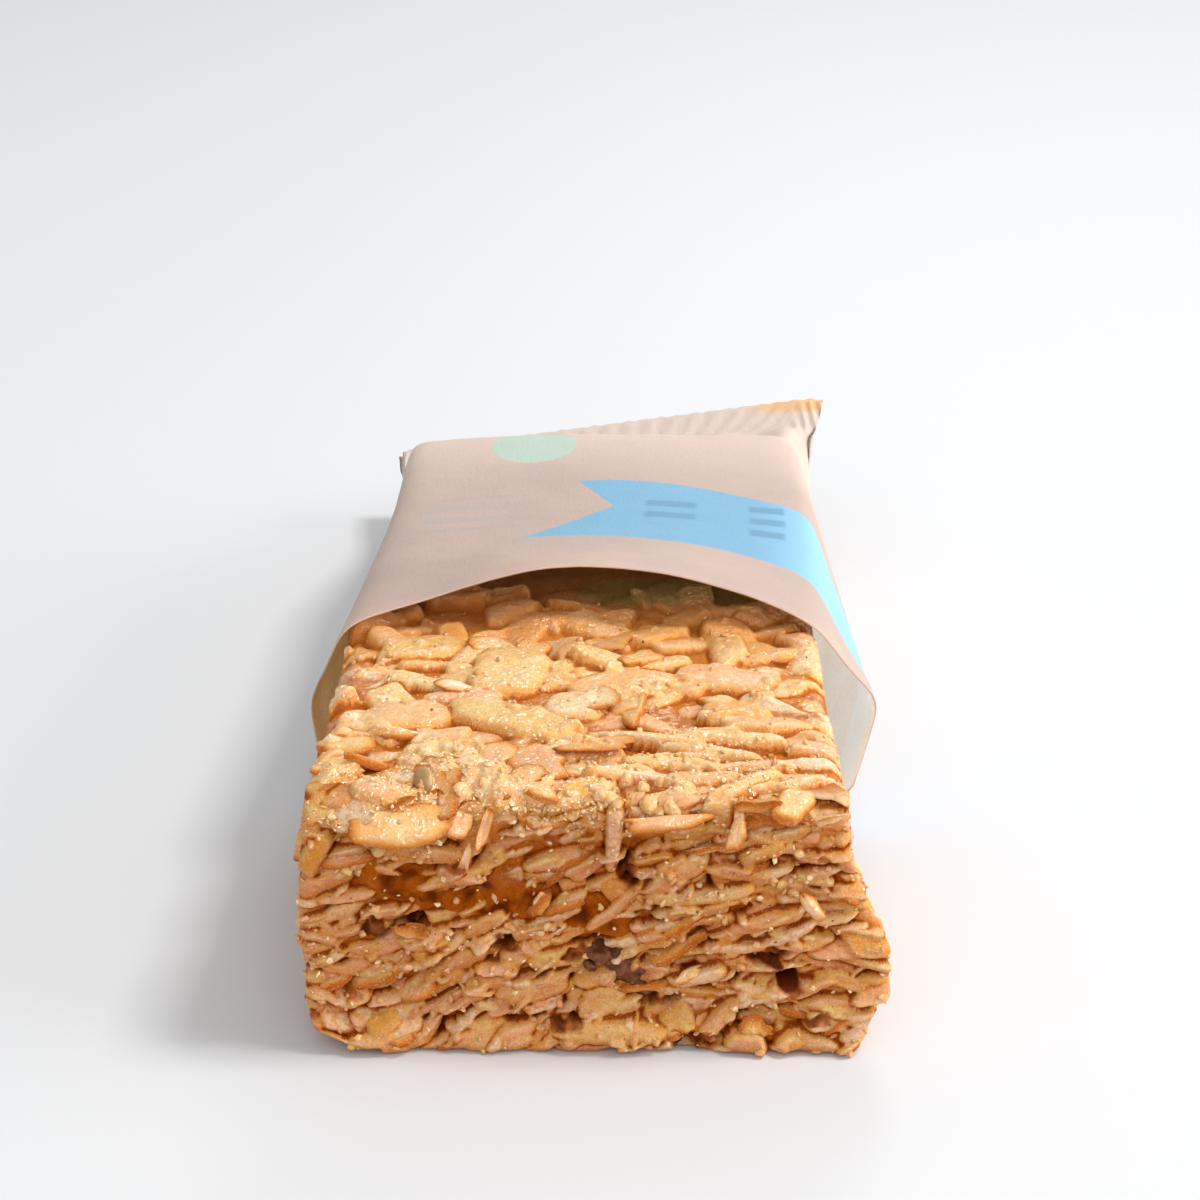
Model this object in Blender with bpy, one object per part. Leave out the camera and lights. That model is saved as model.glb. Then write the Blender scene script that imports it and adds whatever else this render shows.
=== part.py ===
"""A baked oat granola bar half out of its paper flow wrapper.

Two nodes: "bar", the pressed block of oats with its uneven outline, and "wrapper", the thin paper
sleeve round its back half, open in front and crimped shut behind. Metres, +Z up, lying on z = 0.
The bar points along Y with its bare end at the low side. The origin is put under the middle last.
"""

import math

import bmesh
import bpy
from mathutils import Vector, noise

# The bar: a moulded slab with rounded edges, measured from its bare end.
BAR_WIDTH = 0.0402
BAR_HEIGHT = 0.0204
BAR_LENGTH = 0.0920
EDGE_RADIUS = 0.0015
HIDDEN_NARROWER = 0.0008  # on each side, where the paper holds it together
BARE_LENGTH = 0.0340  # from the bare end to the wrapper's mouth
CELLS_ACROSS = 22
CELLS_UP = 11
BARE_CELLS = 22
HIDDEN_CELLS = 7

# The relief of the oats on the bare part: shingled flakes with gaps between them.
FLAKE_SIZE = Vector((0.0072, 0.0056, 0.0026))
FLAKE_LIFT = 0.00055
FLAKE_TILT = 0.00050
GAP_DEPTH = 0.00060
GAP_SHARE = 0.16  # of a flake's size
RELIEF_FADE = 0.0060  # the relief is gone this far before the mouth

# The bare end: it spreads low down on the right, bulges on the left and is worn at its lower left corner.
RIGHT_SPREAD = 0.0038
RIGHT_SPREAD_HEIGHT = 0.0066
RIGHT_SPREAD_REACH = 0.0058  # up and down
LEFT_SPREAD = 0.0010
LEFT_SPREAD_HEIGHT = 0.0100
LEFT_SPREAD_REACH = 0.0080
SPREAD_DEPTH = 0.0120  # along the bar
FOOT = 0.0020  # the face's lower edge stands forward
FOOT_HEIGHT = 0.0030
WORN_CORNER = 0.0019
WORN_WIDTH = 0.0048
END_UNEVEN = 0.0007

# The wrapped part bends a little to the right of the bare part, and the wrapper with it.
BEND_START = 0.0300
BEND_END = 0.0700
BEND_SHIFT = 0.0018

# The wrapper: a paper tube with a crease along each side, a raised mouth and a flat crimped end.
PAPER = 0.00035
CLEARANCE = 0.00050  # between the paper and the bar
TOP_POINTS = 13
SIDE_POINTS = 5
CORNER_ROUNDS = 2
BASE_WIDER = 0.0006  # than the flat top, on each side
MOUTH_BACK_AT_CREASE = 0.0070  # how far the mouth's edge runs back at the side creases
MOUTH_BACK_AT_CROWN = 0.0030  # and at the middle of the arch
MOUTH_BACK_BELOW = 0.0050
MOUTH_FADE = 0.0160
PLEATS = 5
PLEAT_DEPTH = 0.0007
CRIMP_TILT = 0.0027  # the crimp's right end is this much higher than its middle

# Stations along the wrapper, in millimetres: distance from the bare end, left crease, right crease,
# half width of the flat top, height of the top's edges, rise of its arch, height of the underside,
# and height of the creases.
STATIONS_MM = (
    (34.0, -24.6, 27.0, 20.4, 21.4, 5.0, 0.0, 10.9),
    (38.0, -24.3, 26.9, 20.3, 21.4, 4.4, 0.0, 10.8),
    (43.0, -23.7, 26.7, 20.2, 21.4, 3.5, 0.0, 10.7),
    (49.0, -23.1, 26.5, 20.2, 21.4, 2.6, 0.0, 10.6),
    (56.0, -22.5, 26.2, 20.2, 21.4, 1.8, 0.0, 10.5),
    (64.0, -21.9, 26.0, 20.2, 21.4, 1.1, 0.0, 10.5),
    (73.0, -21.3, 25.8, 20.2, 21.4, 0.6, 0.0, 10.5),
    (82.0, -20.9, 25.6, 20.2, 21.4, 0.3, 0.0, 10.6),
    (90.0, -20.5, 25.4, 20.3, 21.4, 0.0, 0.0, 10.8),
    (94.0, -20.3, 25.3, 20.3, 20.9, 0.0, 0.2, 10.9),
    (99.0, -20.0, 25.2, 20.2, 18.6, 0.2, 2.4, 11.0),
    (104.0, -19.9, 25.3, 20.4, 16.4, 0.3, 5.0, 11.1),
    (109.0, -20.2, 25.6, 20.9, 14.2, 0.3, 7.6, 11.2),
    (113.0, -20.6, 26.2, 21.6, 12.7, 0.1, 9.6, 11.3),
    (117.0, -21.0, 27.0, 22.6, 11.75, 0.0, 10.75, 11.25),
    (123.0, -21.4, 28.0, 23.6, 11.65, 0.0, 10.85, 11.25),
    (128.5, -21.6, 28.7, 24.2, 11.65, 0.0, 10.85, 11.25),
)
CRIMP_START = 0.117
HOLLOW_END = 0.112
MM = 0.001


def smoothstep(low, high, value):
    share = min(1.0, max(0.0, (value - low) / (high - low)))
    return share * share * (3.0 - 2.0 * share)


def bell(value, centre, reach):
    return math.exp(-(((value - centre) / reach) ** 2))


def material(name, colour, roughness):
    made = bpy.data.materials.new(name)
    made.use_nodes = True
    shader = made.node_tree.nodes["Principled BSDF"]
    shader.inputs["Base Color"].default_value = (*colour, 1.0)
    shader.inputs["Roughness"].default_value = roughness
    shader.inputs["Metallic"].default_value = 0.0
    return made


def named_object(name, mesh, collection, finish):
    """Puts a finished bmesh into the collection as one smooth-shaded object."""
    data = bpy.data.meshes.new(name)
    mesh.to_mesh(data)
    mesh.free()
    data.shade_smooth()
    data.set_sharp_from_angle(angle=math.radians(40))
    data.materials.append(finish)
    made = bpy.data.objects.new(name, data)
    collection.objects.link(made)
    return made


# --- the bar -------------------------------------------------------------------------------------


def cut_across(mesh, axis, positions):
    """Cuts the whole mesh with planes across one axis, so its faces become a grid."""
    for position in positions:
        point, normal = Vector(), Vector()
        point[axis] = position
        normal[axis] = 1.0
        everything = mesh.verts[:] + mesh.edges[:] + mesh.faces[:]
        bmesh.ops.bisect_plane(mesh, geom=everything, plane_co=point, plane_no=normal)


def evenly(low, high, cells):
    """The cuts that divide low to high into equal cells, both ends left out."""
    return [low + (high - low) * step / cells for step in range(1, cells)]


def gridded_block():
    """A box from y = 0 back, standing on z = 0, cut finely where it is bare and coarsely behind."""
    mesh = bmesh.new()
    bmesh.ops.create_cube(mesh, size=1.0)
    for vertex in mesh.verts:
        vertex.co.x *= BAR_WIDTH
        vertex.co.y = (vertex.co.y + 0.5) * BAR_LENGTH
        vertex.co.z = (vertex.co.z + 0.5) * BAR_HEIGHT
    fine_end = BARE_LENGTH + RELIEF_FADE
    cut_across(mesh, 0, evenly(-BAR_WIDTH / 2, BAR_WIDTH / 2, CELLS_ACROSS))
    cut_across(mesh, 1, evenly(0.0, fine_end, BARE_CELLS))
    cut_across(mesh, 1, [fine_end, *evenly(fine_end, BAR_LENGTH, HIDDEN_CELLS)])
    cut_across(mesh, 2, evenly(0.0, BAR_HEIGHT, CELLS_UP))
    return mesh


def rounded(point):
    """The point moved onto the block's rounded edge, and the direction that faces outwards there."""
    low = (-BAR_WIDTH / 2, 0.0, 0.0)
    high = (BAR_WIDTH / 2, BAR_LENGTH, BAR_HEIGHT)
    inner = Vector(
        min(high[k] - EDGE_RADIUS, max(low[k] + EDGE_RADIUS, point[k])) for k in range(3)
    )
    outwards = (point - inner).normalized()
    return inner + outwards * EDGE_RADIUS, outwards


def flake_relief(point):
    """Each cell is one flake with its own lift and tilt. The surface dips where two cells meet."""
    place = Vector(point[k] / FLAKE_SIZE[k] for k in range(3))
    distances, centres = noise.voronoi(place)
    lift = FLAKE_LIFT * (2.0 * noise.cell(centres[0]) - 1.0)
    tilt = FLAKE_TILT * (noise.cell_vector(centres[0]) - Vector((0.5,) * 3)).dot(place - centres[0])
    gap = GAP_DEPTH * math.exp(-(distances[1] - distances[0]) / GAP_SHARE)
    return lift + 2.0 * tilt - gap


def end_shape(point):
    """How the bare end departs from the block: spread sides, a worn corner and an uneven face."""
    near = math.exp(-max(point.y, 0.0) / SPREAD_DEPTH)
    side = point.x / (BAR_WIDTH / 2)
    right = RIGHT_SPREAD * bell(point.z, RIGHT_SPREAD_HEIGHT, RIGHT_SPREAD_REACH)
    left = LEFT_SPREAD * bell(point.z, LEFT_SPREAD_HEIGHT, LEFT_SPREAD_REACH)
    corner = smoothstep(-BAR_WIDTH / 2 + WORN_WIDTH, -BAR_WIDTH / 2, point.x)
    low_down = 1.0 - smoothstep(0.0, BAR_HEIGHT / 2, point.z)
    face = END_UNEVEN * noise.noise(point / FLAKE_SIZE.x) * bell(point.y, 0.0, EDGE_RADIUS)
    foot = FOOT * bell(point.z, 0.0, FOOT_HEIGHT) * bell(point.y, 0.0, 2.0 * EDGE_RADIUS)
    spread = right * max(0.0, side) ** 3 - left * max(0.0, -side) ** 3
    return Vector((spread * near, face - foot, WORN_CORNER * corner * low_down * near))


def bend(y):
    return BEND_SHIFT * smoothstep(BEND_START, BEND_END, y)


def make_bar(collection, finish):
    """The slab of oats. Its bare part rests on the table and its back part on the wrapper's paper."""
    mesh = gridded_block()
    bed = PAPER + CLEARANCE
    for vertex in mesh.verts:
        point, outwards = rounded(vertex.co.copy())
        bare = 1.0 - smoothstep(BARE_LENGTH - RELIEF_FADE, BARE_LENGTH + 0.001, point.y)
        moved = point + end_shape(point)
        moved += outwards * flake_relief(point) * bare
        moved.x *= 1.0 - (1.0 - bare) * HIDDEN_NARROWER * 2.0 / BAR_WIDTH
        moved.x += bend(point.y)
        below = 1.0 - smoothstep(0.0, BAR_HEIGHT / 2, point.z)
        moved.z += bed * below * (1.0 - bare)
        if outwards.z < -0.99 and point.x > -BAR_WIDTH / 2 + WORN_WIDTH:
            moved.z = bed * (1.0 - bare)
        moved.z = max(moved.z, 0.0)
        vertex.co = moved
    return named_object("bar", mesh, collection, finish)


# --- the wrapper ---------------------------------------------------------------------------------


def along(start, end, count):
    """Points from start towards end, the end left out."""
    return [start.lerp(end, step / count) for step in range(count)]


def outline(station):
    """The closed line of the paper across the bar: an arched top, two creased sides and a flat base."""
    _, left, right, half_top, edge_height, rise, base, crease = (MM * value for value in station)
    middle = bend(MM * station[0])
    top_left = Vector((middle - half_top, edge_height))
    top_right = Vector((middle + half_top, edge_height))
    base_left = Vector((middle - half_top - BASE_WIDER, base))
    base_right = Vector((middle + half_top + BASE_WIDER, base))
    top = along(top_left, top_right, TOP_POINTS)
    for point in top:
        point.y += rise * (1.0 - ((point.x - middle) / half_top) ** 2)
    line = [
        *top,
        *along(top_right, Vector((right, crease)), SIDE_POINTS),
        *along(Vector((right, crease)), base_right, SIDE_POINTS),
        *along(base_right, base_left, TOP_POINTS),
        *along(base_left, Vector((left, crease)), SIDE_POINTS),
        *along(Vector((left, crease)), top_left, SIDE_POINTS),
    ]
    for _ in range(CORNER_ROUNDS):
        line = [
            (line[k - 1] + line[k] * 2.0 + line[(k + 1) % len(line)]) / 4.0
            for k in range(len(line))
        ]
    return line


def inset(line, amount):
    """The line moved inwards by the paper's thickness."""
    moved = []
    for k, point in enumerate(line):
        run = line[(k + 1) % len(line)] - line[k - 1]
        inwards = Vector((run.y, -run.x)).normalized()
        moved.append(point + inwards * amount)
    return moved


def mouth_edge(share, height):
    """How far the mouth's edge runs back, by the share across the tube (-1 to 1) and the height."""
    crown = MOUTH_BACK_AT_CROWN * max(0.0, 1.0 - share**2) * smoothstep(0.019, 0.024, height)
    crease = MOUTH_BACK_AT_CREASE * bell(height, 0.0107, 0.0050)
    below = MOUTH_BACK_BELOW * (1.0 - smoothstep(0.0, 0.0100, height))
    return crown + max(crease, below)


def pleats(point_x, y):
    """The folds that gather the paper between the bar's end and the crimp."""
    fold = math.sin(2.0 * math.pi * PLEATS * point_x / BAR_WIDTH)
    return PLEAT_DEPTH * fold * smoothstep(0.095, 0.104, y) * (1.0 - smoothstep(0.110, 0.118, y))


def ring(mesh, station, line):
    """One loop of vertices at a station, with the mouth's edge, the pleats and the crimp's tilt."""
    y = MM * station[0]
    mouth_share = 1.0 - smoothstep(BARE_LENGTH, BARE_LENGTH + MOUTH_FADE, y)
    crimp_share = smoothstep(0.100, CRIMP_START, y)
    vertices = []
    for point in line:
        share = point.x / (BAR_WIDTH / 2)
        back = mouth_edge(share, point.y) * mouth_share
        upper = 1.0 if point.y > MM * station[7] else -1.0
        height = point.y + upper * pleats(point.x, y) + CRIMP_TILT * share * crimp_share
        vertices.append(mesh.verts.new((point.x, y + back, height)))
    return vertices


def skin(mesh, rings):
    """Quads between neighbouring rings, and a face across the first and the last."""
    for one, other in zip(rings, rings[1:]):
        for k in range(len(one)):
            following = (k + 1) % len(one)
            mesh.faces.new((one[k], one[following], other[following], other[k]))
    mesh.faces.new(rings[0])
    mesh.faces.new(rings[-1])
    bmesh.ops.recalc_face_normals(mesh, faces=mesh.faces[:])


def make_wrapper(collection, finish):
    """The paper from the crimp forward over the outside, round the mouth's edge and back inside."""
    mesh = bmesh.new()
    outside = [ring(mesh, station, outline(station)) for station in reversed(STATIONS_MM)]
    inside = [
        ring(mesh, station, inset(outline(station), PAPER))
        for station in STATIONS_MM
        if MM * station[0] < HOLLOW_END
    ]
    skin(mesh, outside + inside)
    return named_object("wrapper", mesh, collection, finish)


def centre_on_base(objects):
    """Moves the parts together, so that the origin lies under the middle of their common box."""
    bpy.context.view_layer.update()
    corners = [made.matrix_world @ Vector(corner) for made in objects for corner in made.bound_box]
    low = [min(corner[k] for corner in corners) for k in range(3)]
    high = [max(corner[k] for corner in corners) for k in range(3)]
    for made in objects:
        made.location -= Vector(((low[0] + high[0]) / 2, (low[1] + high[1]) / 2, low[2]))


def main():
    for old in list(bpy.data.objects):
        bpy.data.objects.remove(old)
    collection = bpy.data.collections.new("granola_bar")
    bpy.context.scene.collection.children.link(collection)
    oats = material("baked_oats", (0.72, 0.42, 0.20), 0.45)
    paper = material("kraft_paper", (0.70, 0.54, 0.44), 0.65)
    bar = make_bar(collection, oats)
    wrapper = make_wrapper(collection, paper)
    centre_on_base([bar, wrapper])


main()
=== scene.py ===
import math

import bpy
import numpy as np
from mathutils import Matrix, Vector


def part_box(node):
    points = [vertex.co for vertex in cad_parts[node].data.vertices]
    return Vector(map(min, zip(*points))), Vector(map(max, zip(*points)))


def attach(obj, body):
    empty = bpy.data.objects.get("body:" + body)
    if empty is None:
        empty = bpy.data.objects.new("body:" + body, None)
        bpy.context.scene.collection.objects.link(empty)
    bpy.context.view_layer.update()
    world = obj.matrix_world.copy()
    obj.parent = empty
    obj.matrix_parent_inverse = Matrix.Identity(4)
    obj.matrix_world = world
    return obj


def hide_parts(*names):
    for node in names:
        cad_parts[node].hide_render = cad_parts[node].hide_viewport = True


# A baked oat granola bar half out of its paper wrapper.
# Shapes are worked out in millimetres in the bar's own frame: x from its middle to the right,
# y back from its bare end, z up from the table. toRow puts them into the frame of the solids, in
# metres.

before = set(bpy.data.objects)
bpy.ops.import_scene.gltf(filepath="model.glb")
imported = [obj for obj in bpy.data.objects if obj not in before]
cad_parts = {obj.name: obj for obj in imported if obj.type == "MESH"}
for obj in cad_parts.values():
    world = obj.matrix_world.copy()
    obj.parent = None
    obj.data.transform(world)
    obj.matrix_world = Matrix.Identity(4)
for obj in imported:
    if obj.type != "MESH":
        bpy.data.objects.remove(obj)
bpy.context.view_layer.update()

barLow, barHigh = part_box("bar")
wrapLow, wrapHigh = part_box("wrapper")
barLength = 92.0
middleX = (wrapLow.x + wrapHigh.x) * 500 - 2.166  # the bar's middle lies left of the whole part's
bareEndY = barHigh.y * 1000 - barLength
topZ = 20.4
paperFloor, oatFloor = 0.02, 0.03  # the lowest that flakes and paper, and that grains and faces, reach


def toRow(points):
    return (np.asarray(points, float) + (middleX, bareEndY, 0.0)) * 0.001


def bell(value, centre, reach):
    # a smooth hump: e to the minus square of the distance over the reach
    return np.exp(-(((value - centre) / reach) ** 2))


def ease(low, high, value):
    # 0 below low, 1 above high, and the smooth cubic 3s^2 - 2s^3 between them
    share = np.clip((value - low) / (high - low), 0, 1)
    return share * share * (3 - 2 * share)


latticeValues = np.random.default_rng(5).random((32, 32, 32))


def softNoise(points, size, seed=0):
    # random values on a lattice, blended between its eight nearest corners, from -1 to 1
    place = np.asarray(points, float) / size + seed * 7.313
    cell = np.floor(place).astype(int)
    share = place - cell
    share = share * share * (3 - 2 * share)
    total = np.zeros(place.shape[:-1])
    for corner in np.ndindex(2, 2, 2):
        weight = np.prod(np.where(np.array(corner) == 1, share, 1 - share), axis=-1)
        index = (cell + np.array(corner)) % 32
        total += weight * latticeValues[index[..., 0], index[..., 1], index[..., 2]]
    return total * 2 - 1


def layeredNoise(points, size, layers=3, seed=0):
    # soft noise at one size, plus half as much at half that size, and so on
    total = 0
    for layer in range(layers):
        total = total + softNoise(points, size / 2 ** layer, seed + layer) / 2 ** layer
    return total / (2 - 2.0 ** (1 - layers))


class Wire:
    # an output of a shader graph that can be used in sums: every operator adds one Math node
    def __init__(self, finish, socket):
        self.finish = finish
        self.socket = socket

    def sum(self, operation, first, second=0.0, third=0.0):
        return self.finish.add("Math", {"operation": operation}, {0: first, 1: second, 2: third})

    def __add__(self, other):
        return self.sum("ADD", self, other)

    def __sub__(self, other):
        return self.sum("SUBTRACT", self, other)

    def __rsub__(self, other):
        return self.sum("SUBTRACT", other, self)

    def __mul__(self, other):
        return self.sum("MULTIPLY", self, other)

    def __truediv__(self, other):
        return self.sum("DIVIDE", self, other)

    __radd__ = __add__
    __rmul__ = __mul__

    def over(self, other):
        return self.sum("GREATER_THAN", self, other)

    def most(self, other):
        return self.sum("MAXIMUM", self, other)

    def least(self, other):
        return self.sum("MINIMUM", self, other)

    def eased(self, low, high):
        # 0 to 1 as the value goes from low to high, smoothly
        return self.finish.add("MapRange", {"interpolation_type": "SMOOTHSTEP"},
                               {"Value": self, "From Min": low, "From Max": high})


class Finish:
    # one material and its shader graph
    def __init__(self, name, colour, roughness):
        self.material = bpy.data.materials.new(name)
        self.material.use_nodes = True
        self.material.diffuse_color = (*colour, 1)
        self.tree = self.material.node_tree
        self.shader = self.tree.nodes["Principled BSDF"]
        self.set("Base Color", (*colour, 1))
        self.set("Roughness", roughness)

    def plug(self, value, socket):
        if isinstance(value, Wire):
            self.tree.links.new(value.socket, socket)
        else:
            socket.default_value = value

    def add(self, kind, settings=None, values=None, out=0):
        node = self.tree.nodes.new("ShaderNode" + kind)
        for key, value in (settings or {}).items():
            if key == "stops":
                ramp = node.color_ramp
                while len(ramp.elements) < len(value):
                    ramp.elements.new(0.5)
                for element, (place, colour) in zip(ramp.elements, value):
                    element.position = place
                    element.color = (*colour, 1)
            else:
                setattr(node, key, value)
        for key, value in (values or {}).items():
            self.plug(value, node.inputs[key])
        return Wire(self, node.outputs[out])

    def set(self, name, value):
        self.plug(value, self.shader.inputs[name])

    def mix(self, share, first, second, blend="MIX"):
        def colour(value):
            return value if isinstance(value, Wire) else (*value, 1)
        return self.add("Mix", {"data_type": "RGBA", "blend_type": blend},
                        {0: share, 6: colour(first), 7: colour(second)}, out=2)

    def noise(self, place, scale, detail=3.0, roughness=0.55, out=0):
        return self.add("TexNoise", None, {"Vector": place, "Scale": scale, "Detail": detail,
                                           "Roughness": roughness}, out)

    def own(self, name):
        return self.add("Attribute", {"attribute_name": name}, out=2)

    def place(self):
        # the point in millimetres
        spot = self.add("TexCoord", out=3)
        return self.add("VectorMath", {"operation": "SCALE"}, {0: spot, "Scale": 1000.0})

    def cover(self, share, shader):
        # the share of a second shader over the first
        both = self.add("MixShader", None, {0: share, 1: Wire(self, self.shader.outputs[0]), 2: shader})
        self.plug(both, self.tree.nodes["Material Output"].inputs["Surface"])

    def painted(self, colour, layers):
        # each layer's colour by its share over what is there already
        for share, over in layers:
            colour = self.mix(share, colour, over)
        return colour

    def glow(self, share, radius, reach):
        # light that goes in and comes out again nearby
        self.set("Subsurface Weight", share)
        self.set("Subsurface Radius", radius)
        self.set("Subsurface Scale", reach)

    def bump(self, height, strength, distance):
        return self.add("Bump", None, {"Height": height, "Strength": strength, "Distance": distance})


def putMesh(name, points, faces, finishes, values=None, maps=None, slots=None, smooth=True):
    # one object from points in the bar's frame. values hold one number a point, maps one pair a
    # point or a face corner
    mesh = bpy.data.meshes.new(name)
    flat = [face for part in faces for face in np.asarray(part).tolist()]
    mesh.from_pydata(toRow(points).tolist(), [], flat)
    for key, value in (values or {}).items():
        layer = mesh.attributes.new(key, "FLOAT", "POINT")
        layer.data.foreach_set("value", np.ascontiguousarray(value, np.float32).ravel())
    corners = np.empty(len(mesh.loops), np.int32)
    mesh.loops.foreach_get("vertex_index", corners)
    for key, value in (maps or {}).items():
        layer = mesh.uv_layers.new(name=key)
        value = np.asarray(value, np.float32)
        layer.data.foreach_set("uv", (value if len(value) == len(corners) else value[corners]).ravel())
    for finish in finishes:
        mesh.materials.append(finish.material)
    if slots is not None:
        mesh.polygons.foreach_set("material_index", np.asarray(slots, np.int32))
    mesh.polygons.foreach_set("use_smooth", np.full(len(mesh.polygons), smooth))
    mesh.update()
    made = bpy.data.objects.new(name, mesh)
    bpy.context.scene.collection.objects.link(made)
    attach(made, "root")
    print(f"  {name}: {len(mesh.vertices)} points, {len(mesh.polygons)} faces")
    return made


def polarFaces(rings, segments):
    # faces of a closed form with a pole at each end and rings of points between them
    ring = 1 + np.arange(rings * segments).reshape(rings, segments)
    following = np.roll(ring, -1, axis=1)
    quads = np.stack([ring[:-1], ring[1:], following[1:], following[:-1]], -1).reshape(-1, 4)
    last = 1 + rings * segments
    firstFan = np.stack([np.zeros(segments, int), ring[0], following[0]], -1)
    lastFan = np.stack([ring[-1], np.full(segments, last), following[-1]], -1)
    return quads, np.concatenate([firstFan, lastFan])


def formFaces(rings, segments, count):
    # the same faces for every one of count closed forms
    starts = (np.arange(count) * (2 + rings * segments))[:, None, None]
    return [(part[None] + starts).reshape(-1, part.shape[1]) for part in polarFaces(rings, segments)]


def ballPoints(rings, segments):
    # a ball of radius 1: a pole, the rings from the top down, and the other pole
    polar = np.arange(1, rings + 1) * np.pi / (rings + 1)
    angle = np.arange(segments) * 2 * np.pi / segments
    x = np.concatenate([[0], np.outer(np.sin(polar), np.cos(angle)).ravel(), [0]])
    y = np.concatenate([[0], np.outer(np.sin(polar), np.sin(angle)).ravel(), [0]])
    z = np.concatenate([[1], np.repeat(np.cos(polar), segments), [-1]])
    return np.stack([x, y, z], -1)


def gridQuads(number):
    # the square cells of a grid of point numbers
    return np.stack([number[:-1, :-1], number[1:, :-1], number[1:, 1:], number[:-1, 1:]], -1).reshape(-1, 4)


def gridPlaces(us, vs):
    # both numbers of each point of a grid, and the points for noise
    u, v = np.meshgrid(us, vs, indexing="ij")
    return u, v, np.stack([u, v, u * 0], -1)


lookNames = ("tone", "rim", "syrup", "deep", "line", "peak", "wet")


def lookValues(count, **given):
    # one number a point for each name that the oat finish reads, 0 where none is given
    return {name: np.zeros(count) + given.get(name, 0.0) for name in lookNames}


def turned(points, spin, pitch, roll):
    # turns each form about its own z by spin, then about x by pitch, then about y by roll
    x, y, z = points[..., 0], points[..., 1], points[..., 2]
    c, s = np.cos(spin)[:, None], np.sin(spin)[:, None]
    x, y = x * c - y * s, x * s + y * c
    c, s = np.cos(pitch)[:, None], np.sin(pitch)[:, None]
    y, z = y * c - z * s, y * s + z * c
    c, s = np.cos(roll)[:, None], np.sin(roll)[:, None]
    x, z = x * c + z * s, z * c - x * s
    return np.stack([x, y, z], -1)


studio = {
    "cameraPlace": (1.65, -175.74, 100.05),
    "tiltDown": 20.0,
    "lens": 78.63,
    # each lamp: place, size in metres, power
    "lamps": {
        "keyLight": ((774.0, 54.0, 1260.0), 0.36, 12.8),
        "backLight": ((130.0, 950.0, 560.0), 0.26, 1.3),
        "frontLight": ((-180.0, -1350.0, 675.0), 1.8, 12.6),
        "sideLight": ((700.0, -40.0, 200.0), 0.5, 4.0),
    },
    "skyStrength": 0.54,
    "skyColour": (0.96, 0.98, 1.0),
    "floorColour": (0.66, 0.663, 0.667),
    "floorHalf": 2600.0,
}


def softBox(name, place, size, power):
    light = bpy.data.lights.new(name, "AREA")
    light.size = size
    light.energy = power
    lamp = bpy.data.objects.new(name, light)
    lamp.location = toRow(place)
    lamp.rotation_euler = (-lamp.location).to_track_quat("-Z", "Y").to_euler()
    bpy.context.scene.collection.objects.link(lamp)


def setStudio():
    scene = bpy.context.scene
    camera = bpy.data.objects.new("camera", bpy.data.cameras.new("camera"))
    camera.data.lens = studio["lens"]
    camera.data.sensor_width = 36.0
    camera.data.clip_start = 0.01
    camera.location = toRow(studio["cameraPlace"])
    camera.rotation_euler = (math.radians(90 - studio["tiltDown"]), 0, 0)
    scene.collection.objects.link(camera)
    scene.camera = camera
    world = bpy.data.worlds.new("studio")
    world.use_nodes = True
    sky = world.node_tree.nodes["Background"]
    sky.inputs["Color"].default_value = (*studio["skyColour"], 1)
    sky.inputs["Strength"].default_value = studio["skyStrength"]
    scene.world = world
    scene.view_settings.view_transform = "Standard"
    for name, (place, size, power) in studio["lamps"].items():
        softBox(name, place, size, power)
    # the table: a wide flat sheet with a faintly uneven matte finish
    half = studio["floorHalf"]
    side = np.linspace(-half, half, 5)
    x, y = np.meshgrid(side, side, indexing="ij")
    points = np.stack([x, y, 0 * x], -1).reshape(-1, 3)
    table = Finish("tableTop", studio["floorColour"], 0.55)
    mottle = table.noise(table.place(), 0.02, 4)
    table.set("Roughness", mottle * 0.1 + 0.5)
    table.set("Base Color", table.mix(mottle * 0.06, studio["floorColour"], (0.58, 0.58, 0.59)))
    mesh = bpy.data.meshes.new("tableTop")
    mesh.from_pydata(toRow(points).tolist(), [], gridQuads(np.arange(25).reshape(5, 5)).tolist())
    mesh.materials.append(table.material)
    floor = bpy.data.objects.new("tableTop", mesh)
    scene.collection.objects.link(floor)


barForm = {
    "half": 20.1,
    "rightSpread": 3.8, "rightHeight": 6.6, "rightReach": 5.8,
    "leftSpread": 1.0, "leftHeight": 10.0, "leftReach": 8.0,
    "spreadDepth": 12.0,
    "foot": 1.9, "footReach": 3.0,
    "wornCorner": 1.9, "wornWidth": 4.8,
    "round": 1.6,
    "bend": 1.8, "bendStart": 30.0, "bendEnd": 70.0,
}


def bend(y):
    return barForm["bend"] * ease(barForm["bendStart"], barForm["bendEnd"], y)


def sideOut(side, y, z):
    # how far out a long side stands: the half width, and a bulge that fades away from the bare end
    near = np.exp(-np.maximum(y, 0) / barForm["spreadDepth"])
    bulge = bell(z, barForm[side + "Height"], barForm[side + "Reach"])
    return barForm["half"] + near * barForm[side + "Spread"] * bulge


def faceDepth(x, z):
    # how far forward the torn end stands: a foot low down, and slow swells
    swell = softNoise(np.stack([x, z * 1.5, 0 * x], -1), 9.0, 3)
    return -barForm["foot"] * bell(z, 0, barForm["footReach"]) + 0.35 * swell


def lowest(x, y):
    corner = 1 - ease(-barForm["half"], -barForm["half"] + barForm["wornWidth"], x)
    return barForm["wornCorner"] * corner * np.exp(-np.maximum(y, 0) / barForm["spreadDepth"])


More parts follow.
